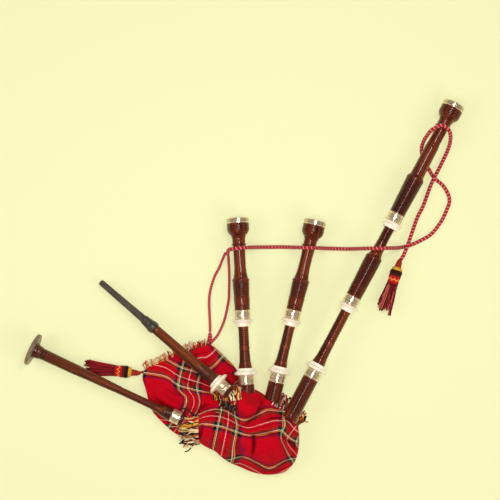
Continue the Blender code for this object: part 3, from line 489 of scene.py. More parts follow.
print("a bead 59 mm below the end of a tenor", told_from(347.0, [(-59, 2.3, 4.6)]))


# %% Ferrules, mounts, caps and stocks
def ferrule(name, pipe, body, start, replaced, radius=17.2):
    """A nickel sleeve with a rolled bead at each edge and the scroll between them."""
    end = start + FERRULE_LONG
    material = engraved_nickel(name + " nickel", start + BAND_EDGE, end - BAND_EDGE)
    edge, face = radius - 0.5, radius - 0.3
    return turned(name, pipe, body, material, start, end,
                  [(start, edge), (start + 1.6, face), (end - 1.6, face), (end, edge)],
                  [(radius - 1.3, end), (radius - 1.3, start)],
                  beads=[(start + 1.0, 0.55, 1.8), (end - 1.0, 0.55, 1.8), (start + 3.4, 0.3, 0.9),
                         (end - 3.4, 0.3, 0.9)], replaced=replaced, step=0.3)


def low_mount(name, pipe, body, replaced, flange=25.6, inner=14.3, collar=16.0):
    """Flange next to the stock, a cove, then a collar with a fine bead."""
    return turned(name, pipe, body, IVORY, 0.3, MOUNT_LONG,
                  [(0.3, collar + 1.5), (2.4, flange - 1.2), (4.4, flange), (6.6, flange - 1.4),
                   (10.5, collar + 3.0), (12.5, collar + 1.2), (MOUNT_LONG, collar)],
                  [(inner, MOUNT_LONG), (inner, 0.3)], beads=[(12.6, 0.5, 1.6), (14.9, 0.4, 1.4)],
                  replaced=replaced, step=0.3, segments=72)


def high_mount(name, pipe, body, start, replaced, flange=23.2, inner=14.3, collar=16.0):
    """A collar, then the thin flange under the ferrule."""
    top = start + MOUNT_LONG
    return turned(name, pipe, body, IVORY, start, top,
                  [(start, collar - 0.4), (start + 6.5, collar), (top - 8.0, collar + 0.6),
                   (top - 5.6, flange - 1.6), (top - 3.4, flange), (top - 1.6, flange - 1.8), (top, 17.4)],
                  [(inner, top), (inner, start)], beads=[(start + 1.0, 0.5, 1.6), (start + 5.2, 0.45, 1.5)],
                  replaced=replaced, step=0.3, segments=72)


def ring_cap(name, pipe, body, end, replaced):
    """Nickel cap: a sleeve over the rim, a rounded edge and a flat face round the bell's mouth."""
    material = engraved_nickel(name + " nickel", end - 10.6, end - 1.6, 9.0)
    face = [(23.3, end - 0.05), (19.0, end - 0.3), (18.2, end - 0.05), (13.6, end - 0.05), (12.9, end - 0.3),
            (11.6, end - 0.4), (11.5, end - 3.0), (23.0, end - 3.0), (23.0, end - 12.0)]
    return turned(name, pipe, body, material, end - 12.0, end - 0.3,
                  told_from(end, [(-12.0, 24.2), (-10.8, 24.3), (-1.6, 24.3), (-0.3, 23.8)]), face,
                  beads=told_from(end, [(-11.2, 0.35, 1.4), (-1.5, 0.3, 1.2)]), replaced=replaced,
                  step=0.3, segments=72)


def drone_stock(name, pipe, length, replaced):
    """The wooden socket tied into the bag, combed below its ferrule."""
    return turned(name, pipe, "root", ROSEWOOD, -length, 0.0,
                  told_from(-length, [(0, 16.8), (5, 17.8), (8, 15.8), (12, 15.8), (16, 17.8)])
                  + [(-20.4, 17.8), (-20.2, 15.6), (0.0, 15.6)],
                  [(12.5, 0.0), (12.5, -length)], combs=[(-length + 18, -22.5)], replaced=replaced)


print("a ferrule is", FERRULE_LONG, "mm long, a mount", MOUNT_LONG, "mm")


# %% Profiles that the drones share
def tenon_stops(outer, thread):
    """From the tenon's tip to the mouth of the stock, with the bed of its hemp between."""
    return [(-30, outer), (-27.1, outer), (-26.9, thread), (-3.1, thread), (-2.9, outer), (0.2, outer)]


def pin_stops(end):
    """The last of a tuning pin, with the bed of its hemp."""
    return told_from(end, [(-35, 11.5), (-34.3, 10.6), (-3.2, 10.6), (-3, 11.5), (0, 11.5)])


def slide_stops(start, radius):
    """The seats of a mount and a ferrule at the foot of a joint that slides on a pin, then the bare wood."""
    seat = start + MOUNT_LONG
    bare = seat + FERRULE_LONG + 0.6
    return bare, [(start, 14.0), (seat, 14.0), (seat + 0.2, 15.6), (bare - 0.3, 15.6), (bare, radius)]


def bell_stops(end):
    """(place, radius) stops from the neck below the bead up to the end of the cap's seat."""
    return told_from(end, [(-84, 13.0), (-64, 13.6), (-56, 14.2), (-47, 14.2), (-40, 15.9), (-34.5, 20.6),
                           (-30, 23.6), (-24, 24.9), (-12.4, 24.5), (-12.2, 22.9), (-BELL_END_GAP, 22.9)])


def bell_bore(end, socket, start):
    """The bell's hollow, the narrow bore and the socket for the pin, from the free end back."""
    mouth = end - BELL_END_GAP
    return [(15.5, mouth), (15.5, end - 26.3), (6.5, end - 33.3), (6.5, socket), (PIN_BORE, socket - 5.0),
            (PIN_BORE, start)]


def bell_beads(end):
    """The big bead on the neck that holds the cord, and the fine ones beside it."""
    return told_from(end, [(-59, 2.3, 4.6), (-50, 0.4, 1.6), (-41, 0.5, 2.0)])


def drone_foot(name, pipe, body, exposed, cove, waist, replaced):
    """The joint that stands in the stock: tenon, seat of the mount, waist and tuning pin."""
    end = exposed + PIN_IN_TOP
    turned(name, pipe, body, ROSEWOOD, -30.0, end,
           tenon_stops(12.0, 10.7) + [(0.4, 14.0), (16.2, 14.0), (16.4, 14.4), (20, 14.4), (24, 13.4),
                                      (cove, 12.4), (waist, 11.6)] + pin_stops(end),
           [(4.0, end), (3.0, -15.5), (4.2, -16.0), (4.2, -30.0)],
           beads=[(18.0, 0.5, 2.2), (25.0, 0.35, 1.6), (waist, 0.3, 1.6)],
           combs=[(28, waist - 4), (waist + 4, exposed - 4)], replaced=replaced)


print("bell waist", min(r for _, r in bell_stops(347)), "mm")


# %% Tenor drones
TENOR_EXPOSED = 107.0
TENOR_LONG = 347.0
TENOR_STOCK = 95.0


def tenor(name):
    lower, upper = name + "_lower", name + "_upper"
    drone_stock(name + "_stock_wood", name, TENOR_STOCK, [name + "_stock"])
    ferrule(name + "_stock_ring", name, "root", -FERRULE_LONG, [name + "_stock_ferrule"])
    low_mount(name + "_foot_mount", name, lower, [name + "_lower_mount"])
    drone_foot(name + "_foot", name, lower, TENOR_EXPOSED, 36, 60, [name + "_bottom"])
    high_mount(name + "_slide_mount", name, upper, TENOR_EXPOSED, [name + "_top_mount"])
    ferrule(name + "_slide_ring", name, upper, TENOR_EXPOSED + MOUNT_LONG + 0.3, [name + "_top_ferrule"])
    wood_low, seats = slide_stops(TENOR_EXPOSED, 17.2)
    end, shoulder = TENOR_LONG, TENOR_LONG - 131.0
    turned(name + "_body", name, upper, ROSEWOOD, TENOR_EXPOSED, end - BELL_END_GAP,
           seats + told_from(shoulder, [(-62, 17.0), (-48, 17.4), (-14, 18.6), (-5, 18.8), (-3, 16.4),
                                        (0, 15.6), (12, 13.8), (22, 13.0)]) + bell_stops(end),
           bell_bore(end, 192.0, TENOR_EXPOSED),
           beads=bell_beads(end) + told_from(shoulder, [(-1.5, 0.6, 2.0), (-7, 0.5, 2.2), (-60, 0.5, 2.2),
                                                        (-46, 0.5, 2.0)]),
           combs=[(wood_low + 3, shoulder - 63), (shoulder - 44, shoulder - 10), (end - 29, end - 14)],
           replaced=[name + "_top"])
    ring_cap(name + "_bell_cap", name, upper, end, [name + "_ring_cap"])


for tenor_name in ("tenor_left", "tenor_right"):
    tenor(tenor_name)


# %% Bass drone
BASS_MIDDLE = 146.0
BASS_TOP = 352.0
BASS_LONG = 664.0
BASS_STOCK = 120.0
drone_stock("bass_stock_wood", "bass", BASS_STOCK, ["bass_stock"])
ferrule("bass_stock_ring", "bass", "root", -FERRULE_LONG, ["bass_stock_ferrule"])
low_mount("bass_foot_mount", "bass", "bass_lower", ["bass_lower_mount"])
drone_foot("bass_foot", "bass", "bass_lower", BASS_MIDDLE, 40, 66, ["bass_bottom"])
high_mount("bass_middle_collar", "bass", "bass_middle", BASS_MIDDLE, ["bass_middle_mount"])
ferrule("bass_middle_ring", "bass", "bass_middle", BASS_MIDDLE + MOUNT_LONG + 0.3, ["bass_middle_ferrule"])
wood_low, seats = slide_stops(BASS_MIDDLE, 17.2)
pin_end = BASS_TOP + PIN_IN_TOP
turned("bass_middle_body", "bass", "bass_middle", ROSEWOOD, BASS_MIDDLE, pin_end,
       seats + [(205, 17.8), (262, 18.9), (280, 18.4), (283, 15.4), (286, 14.0), (297, 12.4), (315, 11.5)]
       + pin_stops(pin_end),
       [(5.0, pin_end), (5.0, 230.0), (PIN_BORE, 226.0), (PIN_BORE, BASS_MIDDLE)],
       beads=[(284, 0.6, 2.0), (278, 0.5, 2.2), (206, 0.5, 2.2), (315, 0.3, 1.6)],
       combs=[(wood_low + 3, 203), (209, 274), (318, 349)], replaced=["bass_middle"])
high_mount("bass_top_collar", "bass", "bass_upper", BASS_TOP, ["bass_top_mount"])
ferrule("bass_top_ring", "bass", "bass_upper", BASS_TOP + MOUNT_LONG + 0.3, ["bass_top_ferrule"])
wood_low, seats = slide_stops(BASS_TOP, 17.4)
shoulder = BASS_LONG - 184.0
turned("bass_top_body", "bass", "bass_upper", ROSEWOOD, BASS_TOP, BASS_LONG - BELL_END_GAP,
       seats + told_from(shoulder, [(-50, 18.6), (-14, 19.6), (-3, 19.6), (0, 17.0), (4, 15.0), (40, 14.6)])
       + told_from(BASS_LONG, [(-112, 14.4), (-96, 13.0)]) + bell_stops(BASS_LONG),
       bell_bore(BASS_LONG, 437.0, BASS_TOP),
       beads=bell_beads(BASS_LONG) + told_from(shoulder, [(1, 0.6, 2.0), (-6, 0.5, 2.2)])
       + told_from(BASS_LONG, [(-110, 0.6, 2.4), (-104, 0.4, 1.8)]),
       combs=[(wood_low + 4, shoulder - 10), (BASS_LONG - 29, BASS_LONG - 14)],
       replaced=["bass_top"])
ring_cap("bass_bell_cap", "bass", "bass_upper", BASS_LONG, ["bass_ring_cap"])
print("bass done")

# %% [markdown]
# ## Blowpipe and chanter
# The blowpipe has its own wide mount, a tapered stick and a separate plastic mouthpiece with a bulb. The
# chanter widens towards its foot, which stands in a broad sole with turned rings. Its finger holes are
# dished by years of fingers, so they are dents in the profile rather than drilled edges.

# %% Small stocks, blowpipe and mouthpiece
BLOW_END = 351.0
STICK_END = 189.0
CHANTER_END = 341.0
SOLE_THICK = 7.0
BLOW_STOCK = 50.0
CHANTER_STOCK = 82.0
for small, length in (("blowpipe", BLOW_STOCK), ("chanter", CHANTER_STOCK)):
    turned(small + "_stock_wood", small, "root", ROSEWOOD, -length, 0.0,
           [(-length, 15.0), (-length + 4, 15.8), (-20.4, 15.8), (-20.2, 14.2), (0.0, 14.2)],
           [(11.4, 0.0), (11.4, -length)], combs=[(-length + 6, -22.5)], replaced=[small + "_stock"])
    ferrule(small + "_stock_ring", small, "root", -FERRULE_LONG, [small + "_stock_ferrule"], radius=15.6)

turned("blowpipe_foot_mount", "blowpipe", "blowpipe", IVORY, 0.3, 15.0,
       [(0.3, 17.0), (2.2, 25.4), (4.2, 26.4), (6.4, 25.2), (10.5, 18.4), (12.5, 16.8), (15.0, 15.8)],
       [(13.3, 15.0), (13.3, 0.3)], beads=[(12.2, 0.5, 1.6), (14.2, 0.35, 1.2)], replaced=["blowpipe_mount"],
       step=0.3, segments=72)
turned("blowpipe_stick", "blowpipe", "blowpipe", OLD_ROSEWOOD, -30.0, STICK_END,
       tenon_stops(10.9, 9.7) + [(0.4, 13.0), (15.2, 13.0), (15.4, 14.1), (19, 14.1), (22, 13.3), (30, 13.0),
                                 (60, 12.0), (125, 10.6), (STICK_END - 3, 10.5), (STICK_END, 10.0)],
       [(7.6, STICK_END), (7.6, STICK_END - 20.6), (5.5, STICK_END - 21.0), (5.5, -30.0)],
       beads=[(17.0, 0.45, 2.0), (23.0, 0.35, 1.6), (62.0, 0.35, 1.8), (STICK_END - 5, 0.35, 1.6)],
       combs=[(26, 59)], replaced=["blowstick"])
turned("mouthpiece_plastic", "blowpipe", "mouthpiece", BLACK_PLASTIC, STICK_END + 0.3,
       BLOW_END,
       told_from(STICK_END, [(0.3, 12.4), (2, 12.9), (9, 13.4), (18, 11.5), (30, 10.4), (38, 8.5), (80, 7.7)])
       + told_from(BLOW_END, [(-10, 6.9), (-6, 7.0), (0, 6.0)]),
       [(3.4, BLOW_END), (3.4, STICK_END - 19.7), (7.4, STICK_END - 19.7), (7.4, STICK_END + 0.25)],
       beads=[(STICK_END + 19.5, 0.4, 1.8), (STICK_END + 31, 0.4, 1.8)], replaced=["mouthpiece"], step=0.5)
print("blowpipe done")

# %% Chanter and sole
SEAT = CHANTER_END - SOLE_THICK
HOLE_PITCH = 23.5
finger_holes = [(SEAT - 60 - HOLE_PITCH * i, math.pi / 2, 4.4, 3.4) for i in range(7)]
thumb_hole = (SEAT - 60 - HOLE_PITCH * 6.5, -math.pi / 2, 4.2, 3.4)
turned("chanter_pipe", "chanter", "chanter", OLD_ROSEWOOD, -30.0, CHANTER_END - 1.0,
       tenon_stops(10.9, 9.7)
       + [(0.4, 14.2), (5, 14.9), (9, 15.0), (15, 14.2), (20, 13.0), (27, 11.2), (34, 9.7), (52, 8.3),
          (109, 8.3), (184, 10.1), (244, 11.8), (302, 12.2), (316, 12.8), (324, 14.6), (329, 16.4),
          (SEAT - 0.4, 17.5), (SEAT - 0.2, 13.0), (CHANTER_END - 1, 13.0)],
       [(9.5, CHANTER_END - 1), (5.0, 180.0), (2.4, -10.0), (4.2, -12.0), (4.2, -30.0)],
       beads=[(2.0, 0.4, 1.8), (16.5, 0.45, 1.8), (34.0, 0.4, 1.8), (304.0, 0.4, 1.8), (318.0, 0.5, 2.0)],
       combs=[(5, 14), (306, 316)], replaced=["chanter"], step=0.6, segments=88,
       dents=finger_holes + [thumb_hole])
turned("chanter_sole_disc", "chanter", "chanter", SOLE_RESIN, SEAT, CHANTER_END,
       [(SEAT, 35.6), (SEAT + 1.5, 36.3), (SEAT + 5.5, 36.4), (CHANTER_END, 35.4)],
       [(35.0, CHANTER_END), (31.0, CHANTER_END - 0.5), (30.4, CHANTER_END), (24.0, CHANTER_END - 0.6),
        (23.4, CHANTER_END), (16.0, CHANTER_END), (13.3, CHANTER_END - 0.4), (13.3, SEAT), (19.0, SEAT),
        (19.8, SEAT + 0.7), (24.0, SEAT + 0.1), (24.8, SEAT + 0.7), (30.5, SEAT + 0.1), (31.3, SEAT + 0.6)],
       replaced=["chanter_sole"], step=0.35, segments=96)
print("chanter done")

# %% [markdown]
# ## Cord, laid up from strands
# The cord is four strands laid together, red with a pale one, lying over the drones and down to the
# tassels. Its line is the route in the frame, and its section is four lobes that turn as they go along.


# %% Round tubes along many lines at once
def smooth_route(route, count):
    """Points evenly spaced by length on a Catmull-Rom curve through the route, given in millimetres."""
    knots = np.array(route, float) * MM
    padded = np.vstack([2 * knots[0] - knots[1], knots, 2 * knots[-1] - knots[-2]])
    t = np.linspace(0.0, 1.0, 24, endpoint=False)[None, :, None]
    a, b, c, d = (padded[i:len(padded) - 3 + i, None] for i in range(4))
    fine = 0.5 * (2 * b + (c - a) * t + (2 * a - 5 * b + 4 * c - d) * t ** 2
                  + (3 * b - a - 3 * c + d) * t ** 3)
    fine = np.vstack([fine.reshape(-1, 3), padded[-2]])
    run = np.concatenate([[0.0], np.cumsum(np.linalg.norm(np.diff(fine, axis=0), axis=1))])
    even = np.linspace(0.0, run[-1], count)
    return np.stack([np.interp(even, run, fine[:, k]) for k in range(3)], axis=1)


def tubes(name, paths, radius, sides, tints=None, lobes=0, lay=0.02, depth=0.0):
    """Tubes round paths (n, k, 3). radius is a number or (n, k). With lobes, the section is
    r (1 - depth + depth |cos(lobes/2 (a - 2 pi s / lay))|), which reads as strands laid together."""
    n, k, _ = paths.shape
    tangent = np.gradient(paths, axis=1)
    tangent /= np.linalg.norm(tangent, axis=2, keepdims=True)
    side = np.cross([0.0, 0.0, 1.0], tangent)
    side /= np.maximum(np.linalg.norm(side, axis=2, keepdims=True), 1e-9)
    rise = np.cross(tangent, side)
    gaps = np.linalg.norm(np.diff(paths, axis=1), axis=2)
    run = np.concatenate([np.zeros((n, 1)), np.cumsum(gaps, axis=1)], axis=1)
    angle = np.arange(sides) * 2 * math.pi / sides
    size = np.broadcast_to(np.asarray(radius, float), (n, k))[..., None] * np.ones(sides)
    if lobes:
        phase = 0.5 * lobes * (angle - 2 * math.pi * run[..., None] / lay)
        size = size * (1.0 - depth + depth * np.abs(np.cos(phase)))
    ring = (np.cos(angle)[:, None] * side[:, :, None] + np.sin(angle)[:, None] * rise[:, :, None])
    points = paths[:, :, None] + size[..., None] * ring
    ends = points.mean(axis=2, keepdims=True)
    first, last = np.repeat(ends[:, :1], sides, 2), np.repeat(ends[:, -1:], sides, 2)
    points = np.concatenate([first, points, last], axis=1)
    run = np.concatenate([run[:, :1], run, run[:, -1:]], axis=1)
    faces, steps = grid_faces(k + 2, sides, False, True)
    all_faces = (faces[None] + (np.arange(n) * (k + 2) * sides)[:, None, None]).reshape(-1, 4)
    along = run[:, steps[..., 0]].reshape(-1, 4)
    around = np.broadcast_to(steps[..., 1] / sides, (n, *steps.shape[:2])).reshape(-1, 4)
    extras = {}
    if tints is not None:
        extras["tint"] = np.repeat(tints, (k + 2) * sides, axis=0)
    return mesh_from_arrays(name, points.reshape(-1, 3), all_faces[:, ::-1],
                            np.stack([around, along], -1)[:, ::-1], extras, math.radians(70))


# %% Cord material and the three cords
WOOLLEN = {"Sheen_Weight": 0.06, "Specular_IOR_Level": 0.1}


def laid_cord(name, colours, lay):
    """Each strand has a colour: the strand under a point is where fract(turn - length / lay) falls."""
    material, shader = new_material(name, colours[0], 0.62, **WOOLLEN)
    parts = node(material, "SeparateXYZ", Vector=node(material, "UVMap", {"uv_map": "cloth"}).outputs["UV"])
    turn = node(material, "Math", {"operation": "MULTIPLY_ADD"}, i0=parts.outputs["Y"], i1=-1.0 / lay,
                i2=parts.outputs["X"]).outputs[0]
    which = node(material, "Math", {"operation": "FRACT"}, i0=turn).outputs[0]
    stops = [(i / len(colours), colour) for i, colour in enumerate(colours)]
    colour = node(material, "ValToRGB", {"stops": stops, "steps": True}, Fac=which).outputs["Color"]
    fibre = node(material, "TexNoise", Vector=node(material, "TexCoord").outputs["Object"], Scale=1800.0)
    dress(material, shader, colour, fibre.outputs["Fac"], 0.35, 0.0003)
    return material


MAIN_ROUTE = (
    (-40, 403, 35), (-36.5, 404, 44), (-19.8, 406.5, 54), (0.5, 408, 45.5), (11, 408.4, 31), (25, 408.8, 17),
    (45, 409, 7), (72, 409.2, 4.6), (94, 408.8, 16), (107, 408.4, 31), (118, 408, 44.5), (135.8, 407.4, 53),
    (154, 407, 44.5), (165, 406.6, 31), (180, 406.1, 16), (203, 405.4, 5.6), (226, 405, 10), (246, 405.4, 32),
    (264, 406, 53), (289, 406.3, 63.6), (313, 406.8, 54), (330, 407, 30), (341, 408.2, 12), (354, 410.6, 4.8),
    (368, 414.8, 4.4), (388.7, 424.6, 4.4), (411.4, 438.7, 4.4), (433, 466.4, 4.4), (447.5, 497.2, 4.4),
    (451.5, 512.6, 4.4), (448.1, 528, 4.4), (436.5, 546.7, 4.4), (416.7, 564.5, 4.4), (402.6, 588, 4.4),
    (391.5, 611, 4.4), (389, 627, 4.8), (391.5, 642.4, 15), (397.4, 655, 30), (406.4, 666.6, 44.5),
    (425.4, 675.6, 53), (438.4, 669.8, 52), (447, 657, 43), (449.5, 639.1, 22), (446, 622.6, 8.6),
    (439.3, 607, 5.2), (428.6, 586.1, 9), (416.7, 564.5, 13.8), (407, 541.2, 8.5), (393.1, 501.6, 4.4),
    (379.5, 474.1, 4.6), (366.5, 440, 11), (356, 411, 15), (348, 391.6, 14.2), (341.2, 380.6, 14.2),
)
OUTER_ROUTE = (
    (-48, 395.5, 29), (-54.5, 381, 14), (-62, 363, 4.6), (-73, 342, 3.3), (-82.3, 310.2, 3.3),
    (-84.5, 285, 3.3), (-83.6, 259.6, 3.3), (-82.6, 235, 3.3), (-82.5, 219, 3.3),
)
INNER_ROUTE = (
    (-41.6, 391, 27), (-40.8, 378, 12.5), (-40.2, 362, 4), (-39.6, 344.3, 3.3), (-40, 316, 3.3),
    (-41.5, 288.2, 3.3), (-50.6, 246.4, 3.3), (-63.8, 215.6, 3.3), (-74.5, 202, 3.3), (-82.5, 193.5, 3.3),
    (-92, 189, 3.3), (-104, 187, 3.3), (-136, 176, 3.3), (-180, 158, 3.3), (-212, 140.5, 3.3),
    (-228, 132, 4.5), (-240.5, 129.4, 11),
)
CORD_LAY, THIN_LAY = 8.0 * MM, 6.0 * MM
CORD_SILK = laid_cord("twisted silk cord", ["8c121c", "a81c28", "a81c28", "cf857a"], CORD_LAY)
THIN_SILK = laid_cord("thin twisted silk cord", ["8c1220", "a81c2a", "a81c2a", "d0807a"], THIN_LAY)
STRAND_SWELL = 1.04
for name, node_name, route, count, radius, material, far_end, lay in (
        ("silk_cord_main", "cord_main", MAIN_ROUTE, 1300, 4.2, CORD_SILK, "object", CORD_LAY),
        ("silk_cord_outer", "cord_left_outer", OUTER_ROUTE, 240, 3.0, THIN_SILK, "object", THIN_LAY),
        ("silk_cord_inner", "cord_left_inner", INNER_ROUTE, 480, 3.0, THIN_SILK, "object", THIN_LAY)):
    line = smooth_route(route, count)
    mesh = tubes(name, line[None], radius * MM * STRAND_SWELL, 18, lobes=4, lay=lay, depth=0.16)
    add_piece(name, mesh, material, "root", [node_name])
    length = float(np.linalg.norm(np.diff(line, axis=0), axis=1).sum())
    print(name, round(length, 4), "m")


# %% Knots where cords meet
def knot(name, place, along, radius, long):
    """A cord wound on itself: a short barrel with round turns, closed at both ends."""
    along = np.array(along, float) / np.linalg.norm(along)
    level = np.cross([0.0, 0.0, 1.0], along)
    PIPE[name] = (np.array(place, float) * MM, np.cross(along, level), level, along)
    half = 0.5 * long
    turned(name, name, "root", THIN_SILK, -half, half,
           [(-half, 0.5 * radius), (-0.6 * half, 0.92 * radius), (0.0, radius), (0.6 * half, 0.92 * radius),
            (half, 0.5 * radius)],
           [(0.3, half), (0.3, -half)], combs=[(-half, half)], replaced=["cord_left_inner"], step=0.4,
           segments=28)


knot("knot_at_bag", (-82.5, 207, 5.6), (0, -1, 0), 5.4, 22)
knot("knot_at_tenor", (-42.5, 397.0, 31.5), (0.1, 0.76, 0.64), 5.6, 19)
print("knots done")

# %% [markdown]
# ## Tassels
# Each tassel is a bound core with a skirt of loose wool. The core is turned like a pipe: a whipped knot, a
# yellow bead, a dark head and a band with a zigzag worked into it. The skirt is strands in nine locks.


# %% Tassel materials
def tassel_core(name):
    """Colour by distance along the tassel, in steps, with a zigzag where a triangle wave meets the height."""
    material, shader = new_material(name, "6e1a12", 0.85, **WOOLLEN)
    pipe = node(material, "Attribute", {"attribute_name": "pipe"}).outputs["Vector"]
    along = node(material, "SeparateXYZ", Vector=pipe)
    place = node(material, "MapRange", Value=along.outputs["Z"], i1=0.0, i2=0.06).outputs[0]
    bands = [(0.0, "8e2a1c"), (0.21, "c9962e"), (0.33, "30120a"), (0.47, "44200f"), (0.56, "b0121c"),
             (0.83, "5a1013")]
    base = node(material, "ValToRGB", {"stops": bands, "steps": True}, Fac=place).outputs["Color"]
    turn = node(material, "SeparateXYZ", Vector=node(material, "UVMap", {"uv_map": "cloth"}).outputs["UV"])
    swing = node(material, "Math", {"operation": "PINGPONG"}, i0=turn.outputs["X"], i1=0.0055).outputs[0]
    height = node(material, "Math", {"operation": "SUBTRACT"}, i0=along.outputs["Z"], i1=0.039).outputs[0]
    gap = node(material, "Math", {"operation": "SUBTRACT"}, i0=swing, i1=height).outputs[0]
    near = node(material, "Math", {"operation": "COMPARE"}, i0=gap, i1=0.0, i2=0.0012).outputs[0]
    colour = node(material, "Mix", {"data_type": "RGBA"}, i0=near, i6=base, i7=linear("e39a35")).outputs[2]
    join(material, colour, shader.inputs["Base Color"])
    return material


def tinted(name, roughness=0.85):
    """Wool or yarn whose colour is its own tint, with fine fuzz."""
    material, shader = new_material(name, "8e1f1a", roughness, **WOOLLEN)
    tint = node(material, "Attribute", {"attribute_name": "tint"}).outputs["Color"]
    fuzz = node(material, "TexNoise", Vector=node(material, "TexCoord").outputs["Object"], Scale=2500.0)
    dress(material, shader, tint, fuzz.outputs["Fac"], 0.4, 0.0003)
    return material


TASSEL_CORE = tassel_core("bound tassel wool")
TASSEL_WOOL = tinted("loose tassel wool")
print("tassel materials ready")


# %% Tassels
TASSEL_LONG = 122.0
TASSEL_FLAT = 0.78
SKIRT_ROOT = 46.0


def tassel(name, start, along, tints, node_name):
    """Core and skirt of one tassel. A strand is a line from band to hem, spreading and swaying a little."""
    along = np.array(along, float) / np.linalg.norm(along)
    level = np.cross([0.0, 0.0, 1.0], along)
    up = np.cross(along, level)
    PIPE[name] = (np.array(start) * MM, up * TASSEL_FLAT, level, along)
    turned(name + "_core", name, "root", TASSEL_CORE, -6.0, 96.0,
           [(-6, 3.4), (-4, 4.8), (3, 6.8), (12, 7.6), (13.5, 8.6), (16, 11.6), (19, 11.8), (20.5, 12.6),
            (24, 14.2), (28, 14.0), (33, 13.2), (36, 13.4), (40, 12.0), (49, 12.6), (52, 12.6),
            (60, 12.0), (96, 11.0)],
           [(2.0, 96.0), (2.0, -6.0)], combs=[(-5, 12), (21, 33)], replaced=[node_name], step=0.35,
           segments=72)
    count, steps, locks = 150, 14, 9
    lock = rng.integers(0, locks, count)
    turn = 2 * math.pi * lock / locks + rng.normal(0, 0.16, count)
    depth = rng.uniform(0.55, 1.0, count) ** 0.5
    s = np.linspace(0.0, 1.0, steps)
    end = rng.uniform(100.0, TASSEL_LONG, locks)[lock] + rng.uniform(-9, 5, count)
    end = np.minimum(end, TASSEL_LONG - 1.0)
    h = SKIRT_ROOT + (end[:, None] - SKIRT_ROOT) * s
    spread = 11.0 + 6.4 * s ** 0.9
    sway = 1.5 * np.sin(s * rng.uniform(4, 9, (count, 1)) + rng.uniform(0, 6.3, (count, 1))) * s
    r = spread * depth[:, None] + 0.5 * sway
    a = turn[:, None] + 0.06 * sway
    x, y = r * np.cos(a), r * np.sin(a)
    origin, up, level, along = PIPE[name]
    paths = origin + MM * (x[..., None] * up + y[..., None] * level + h[..., None] * along)
    chosen = np.array([linear(code)[:3] for code in tints])[rng.integers(0, len(tints), count)]
    chosen = chosen * rng.uniform(0.75, 1.15, (count, 1))
    skirt = tubes(name + "_skirt", paths, 0.85 * MM, 6, chosen)
    add_piece(name + "_skirt", skirt, TASSEL_WOOL, "root", [node_name])


tassel("tassel_right", (338.8, 376.6, 14.2), (-0.306, -0.952, 0.0),
       ["5e1014", "7c161a", "40080c", "962428", "b8604e"], "tassel_right")
tassel("tassel_left", (-243.6, 129.2, 14.2), (-0.994, 0.106, 0.0),
       ["8c1014", "a4161c", "5c0a0c", "6e1012"], "tassel_left")
print("tassels done")

# %% [markdown]
# ## Tartan
# The cover is a worn red tartan. A sett is a row of coloured stripes counted in threads; it is mirrored at
# both ends and used both ways, and a twill weave shows the two ways in turn along slanting lines. The
# stripe under a point depends on its place in the cloth, which each piece carries as "weave", in metres.

# %% Sett and twill
THREAD = 0.66 * MM
TWILL = 1.6 * MM
HALF_SETT = (("ba0418", 46), ("1e1644", 4), ("170e12", 7), ("dcae3c", 2), ("170e12", 2), ("f6e2cc", 2.6),
             ("170e12", 2), ("14361c", 8), ("ba0418", 9), ("170e12", 2), ("ba0418", 6), ("f3dcc8", 1.4))
SETT_LONG = sum(count for _, count in HALF_SETT) * THREAD


def tartan(name):
    """Stripe by how far a point is along the mirrored sett: pingpong(place, length) / length, through stepped
    colours, once for each way of the cloth. Twill shows one way or the other by a triangle wave of
    (p + q) / 1.6 mm. The third number of "weave" is how deep in a crease the cloth lies, where its colour
    is darkened as painted shade, with a little dust."""
    material, shader = new_material(name, HALF_SETT[0][0], 0.8, Sheen_Weight=0.02, Specular_IOR_Level=0.04)
    weave = node(material, "Attribute", {"attribute_name": "weave"}).outputs["Vector"]
    parts = node(material, "SeparateXYZ", Vector=weave)
    stops, run = [], 0.0
    for colour, count in HALF_SETT:
        stops.append((run * THREAD / SETT_LONG, colour))
        run += count
    stripes = []
    for way in ("X", "Y"):
        place = node(material, "Math", {"operation": "PINGPONG"}, i0=parts.outputs[way], i1=SETT_LONG)
        share = node(material, "Math", {"operation": "DIVIDE"}, i0=place.outputs[0], i1=SETT_LONG).outputs[0]
        stripe = node(material, "ValToRGB", {"stops": stops, "steps": True}, Fac=share)
        stripes.append(stripe.outputs["Color"])
    p, q = parts.outputs["X"], parts.outputs["Y"]
    slant = node(material, "Math", {"operation": "ADD"}, i0=p, i1=q).outputs[0]
    rows = node(material, "Math", {"operation": "DIVIDE"}, i0=slant, i1=TWILL).outputs[0]
    wave = node(material, "Math", {"operation": "PINGPONG"}, i0=rows, i1=0.5).outputs[0]
    which = node(material, "MapRange", Value=wave, i1=0.2, i2=0.3).outputs[0]
    cloth = node(material, "Mix", {"data_type": "RGBA"}, i0=which, i6=stripes[0], i7=stripes[1]).outputs[2]
    place = node(material, "TexCoord").outputs["Object"]
    wear = node(material, "TexNoise", Vector=place, Scale=55.0, Detail=5.0).outputs["Fac"]
    shade = node(material, "MapRange", Value=wear, i1=0.3, i2=0.7, i3=0.86, i4=1.06).outputs[0]
    worn = node(material, "Mix", MULTIPLY, i0=1.0, i6=cloth, i7=shade).outputs[2]
    # Painted shade: the cloth is darker the deeper it lies in a crease, with a little dust.
    crease_dust_and_shade = node(material, "MapRange", Value=parts.outputs["Z"], i3=1.0, i4=0.3).outputs[0]
    crease_shaded = node(material, "Mix", MULTIPLY, i0=1.0, i6=worn, i7=crease_dust_and_shade).outputs[2]
    dress(material, shader, crease_shaded, wave, 0.3)
    return material


TARTAN = tartan("woven wool tartan")
YARN = tinted("loose tartan yarn", 0.8)
print("sett repeats every", round(2 * SETT_LONG / MM, 1), "mm")

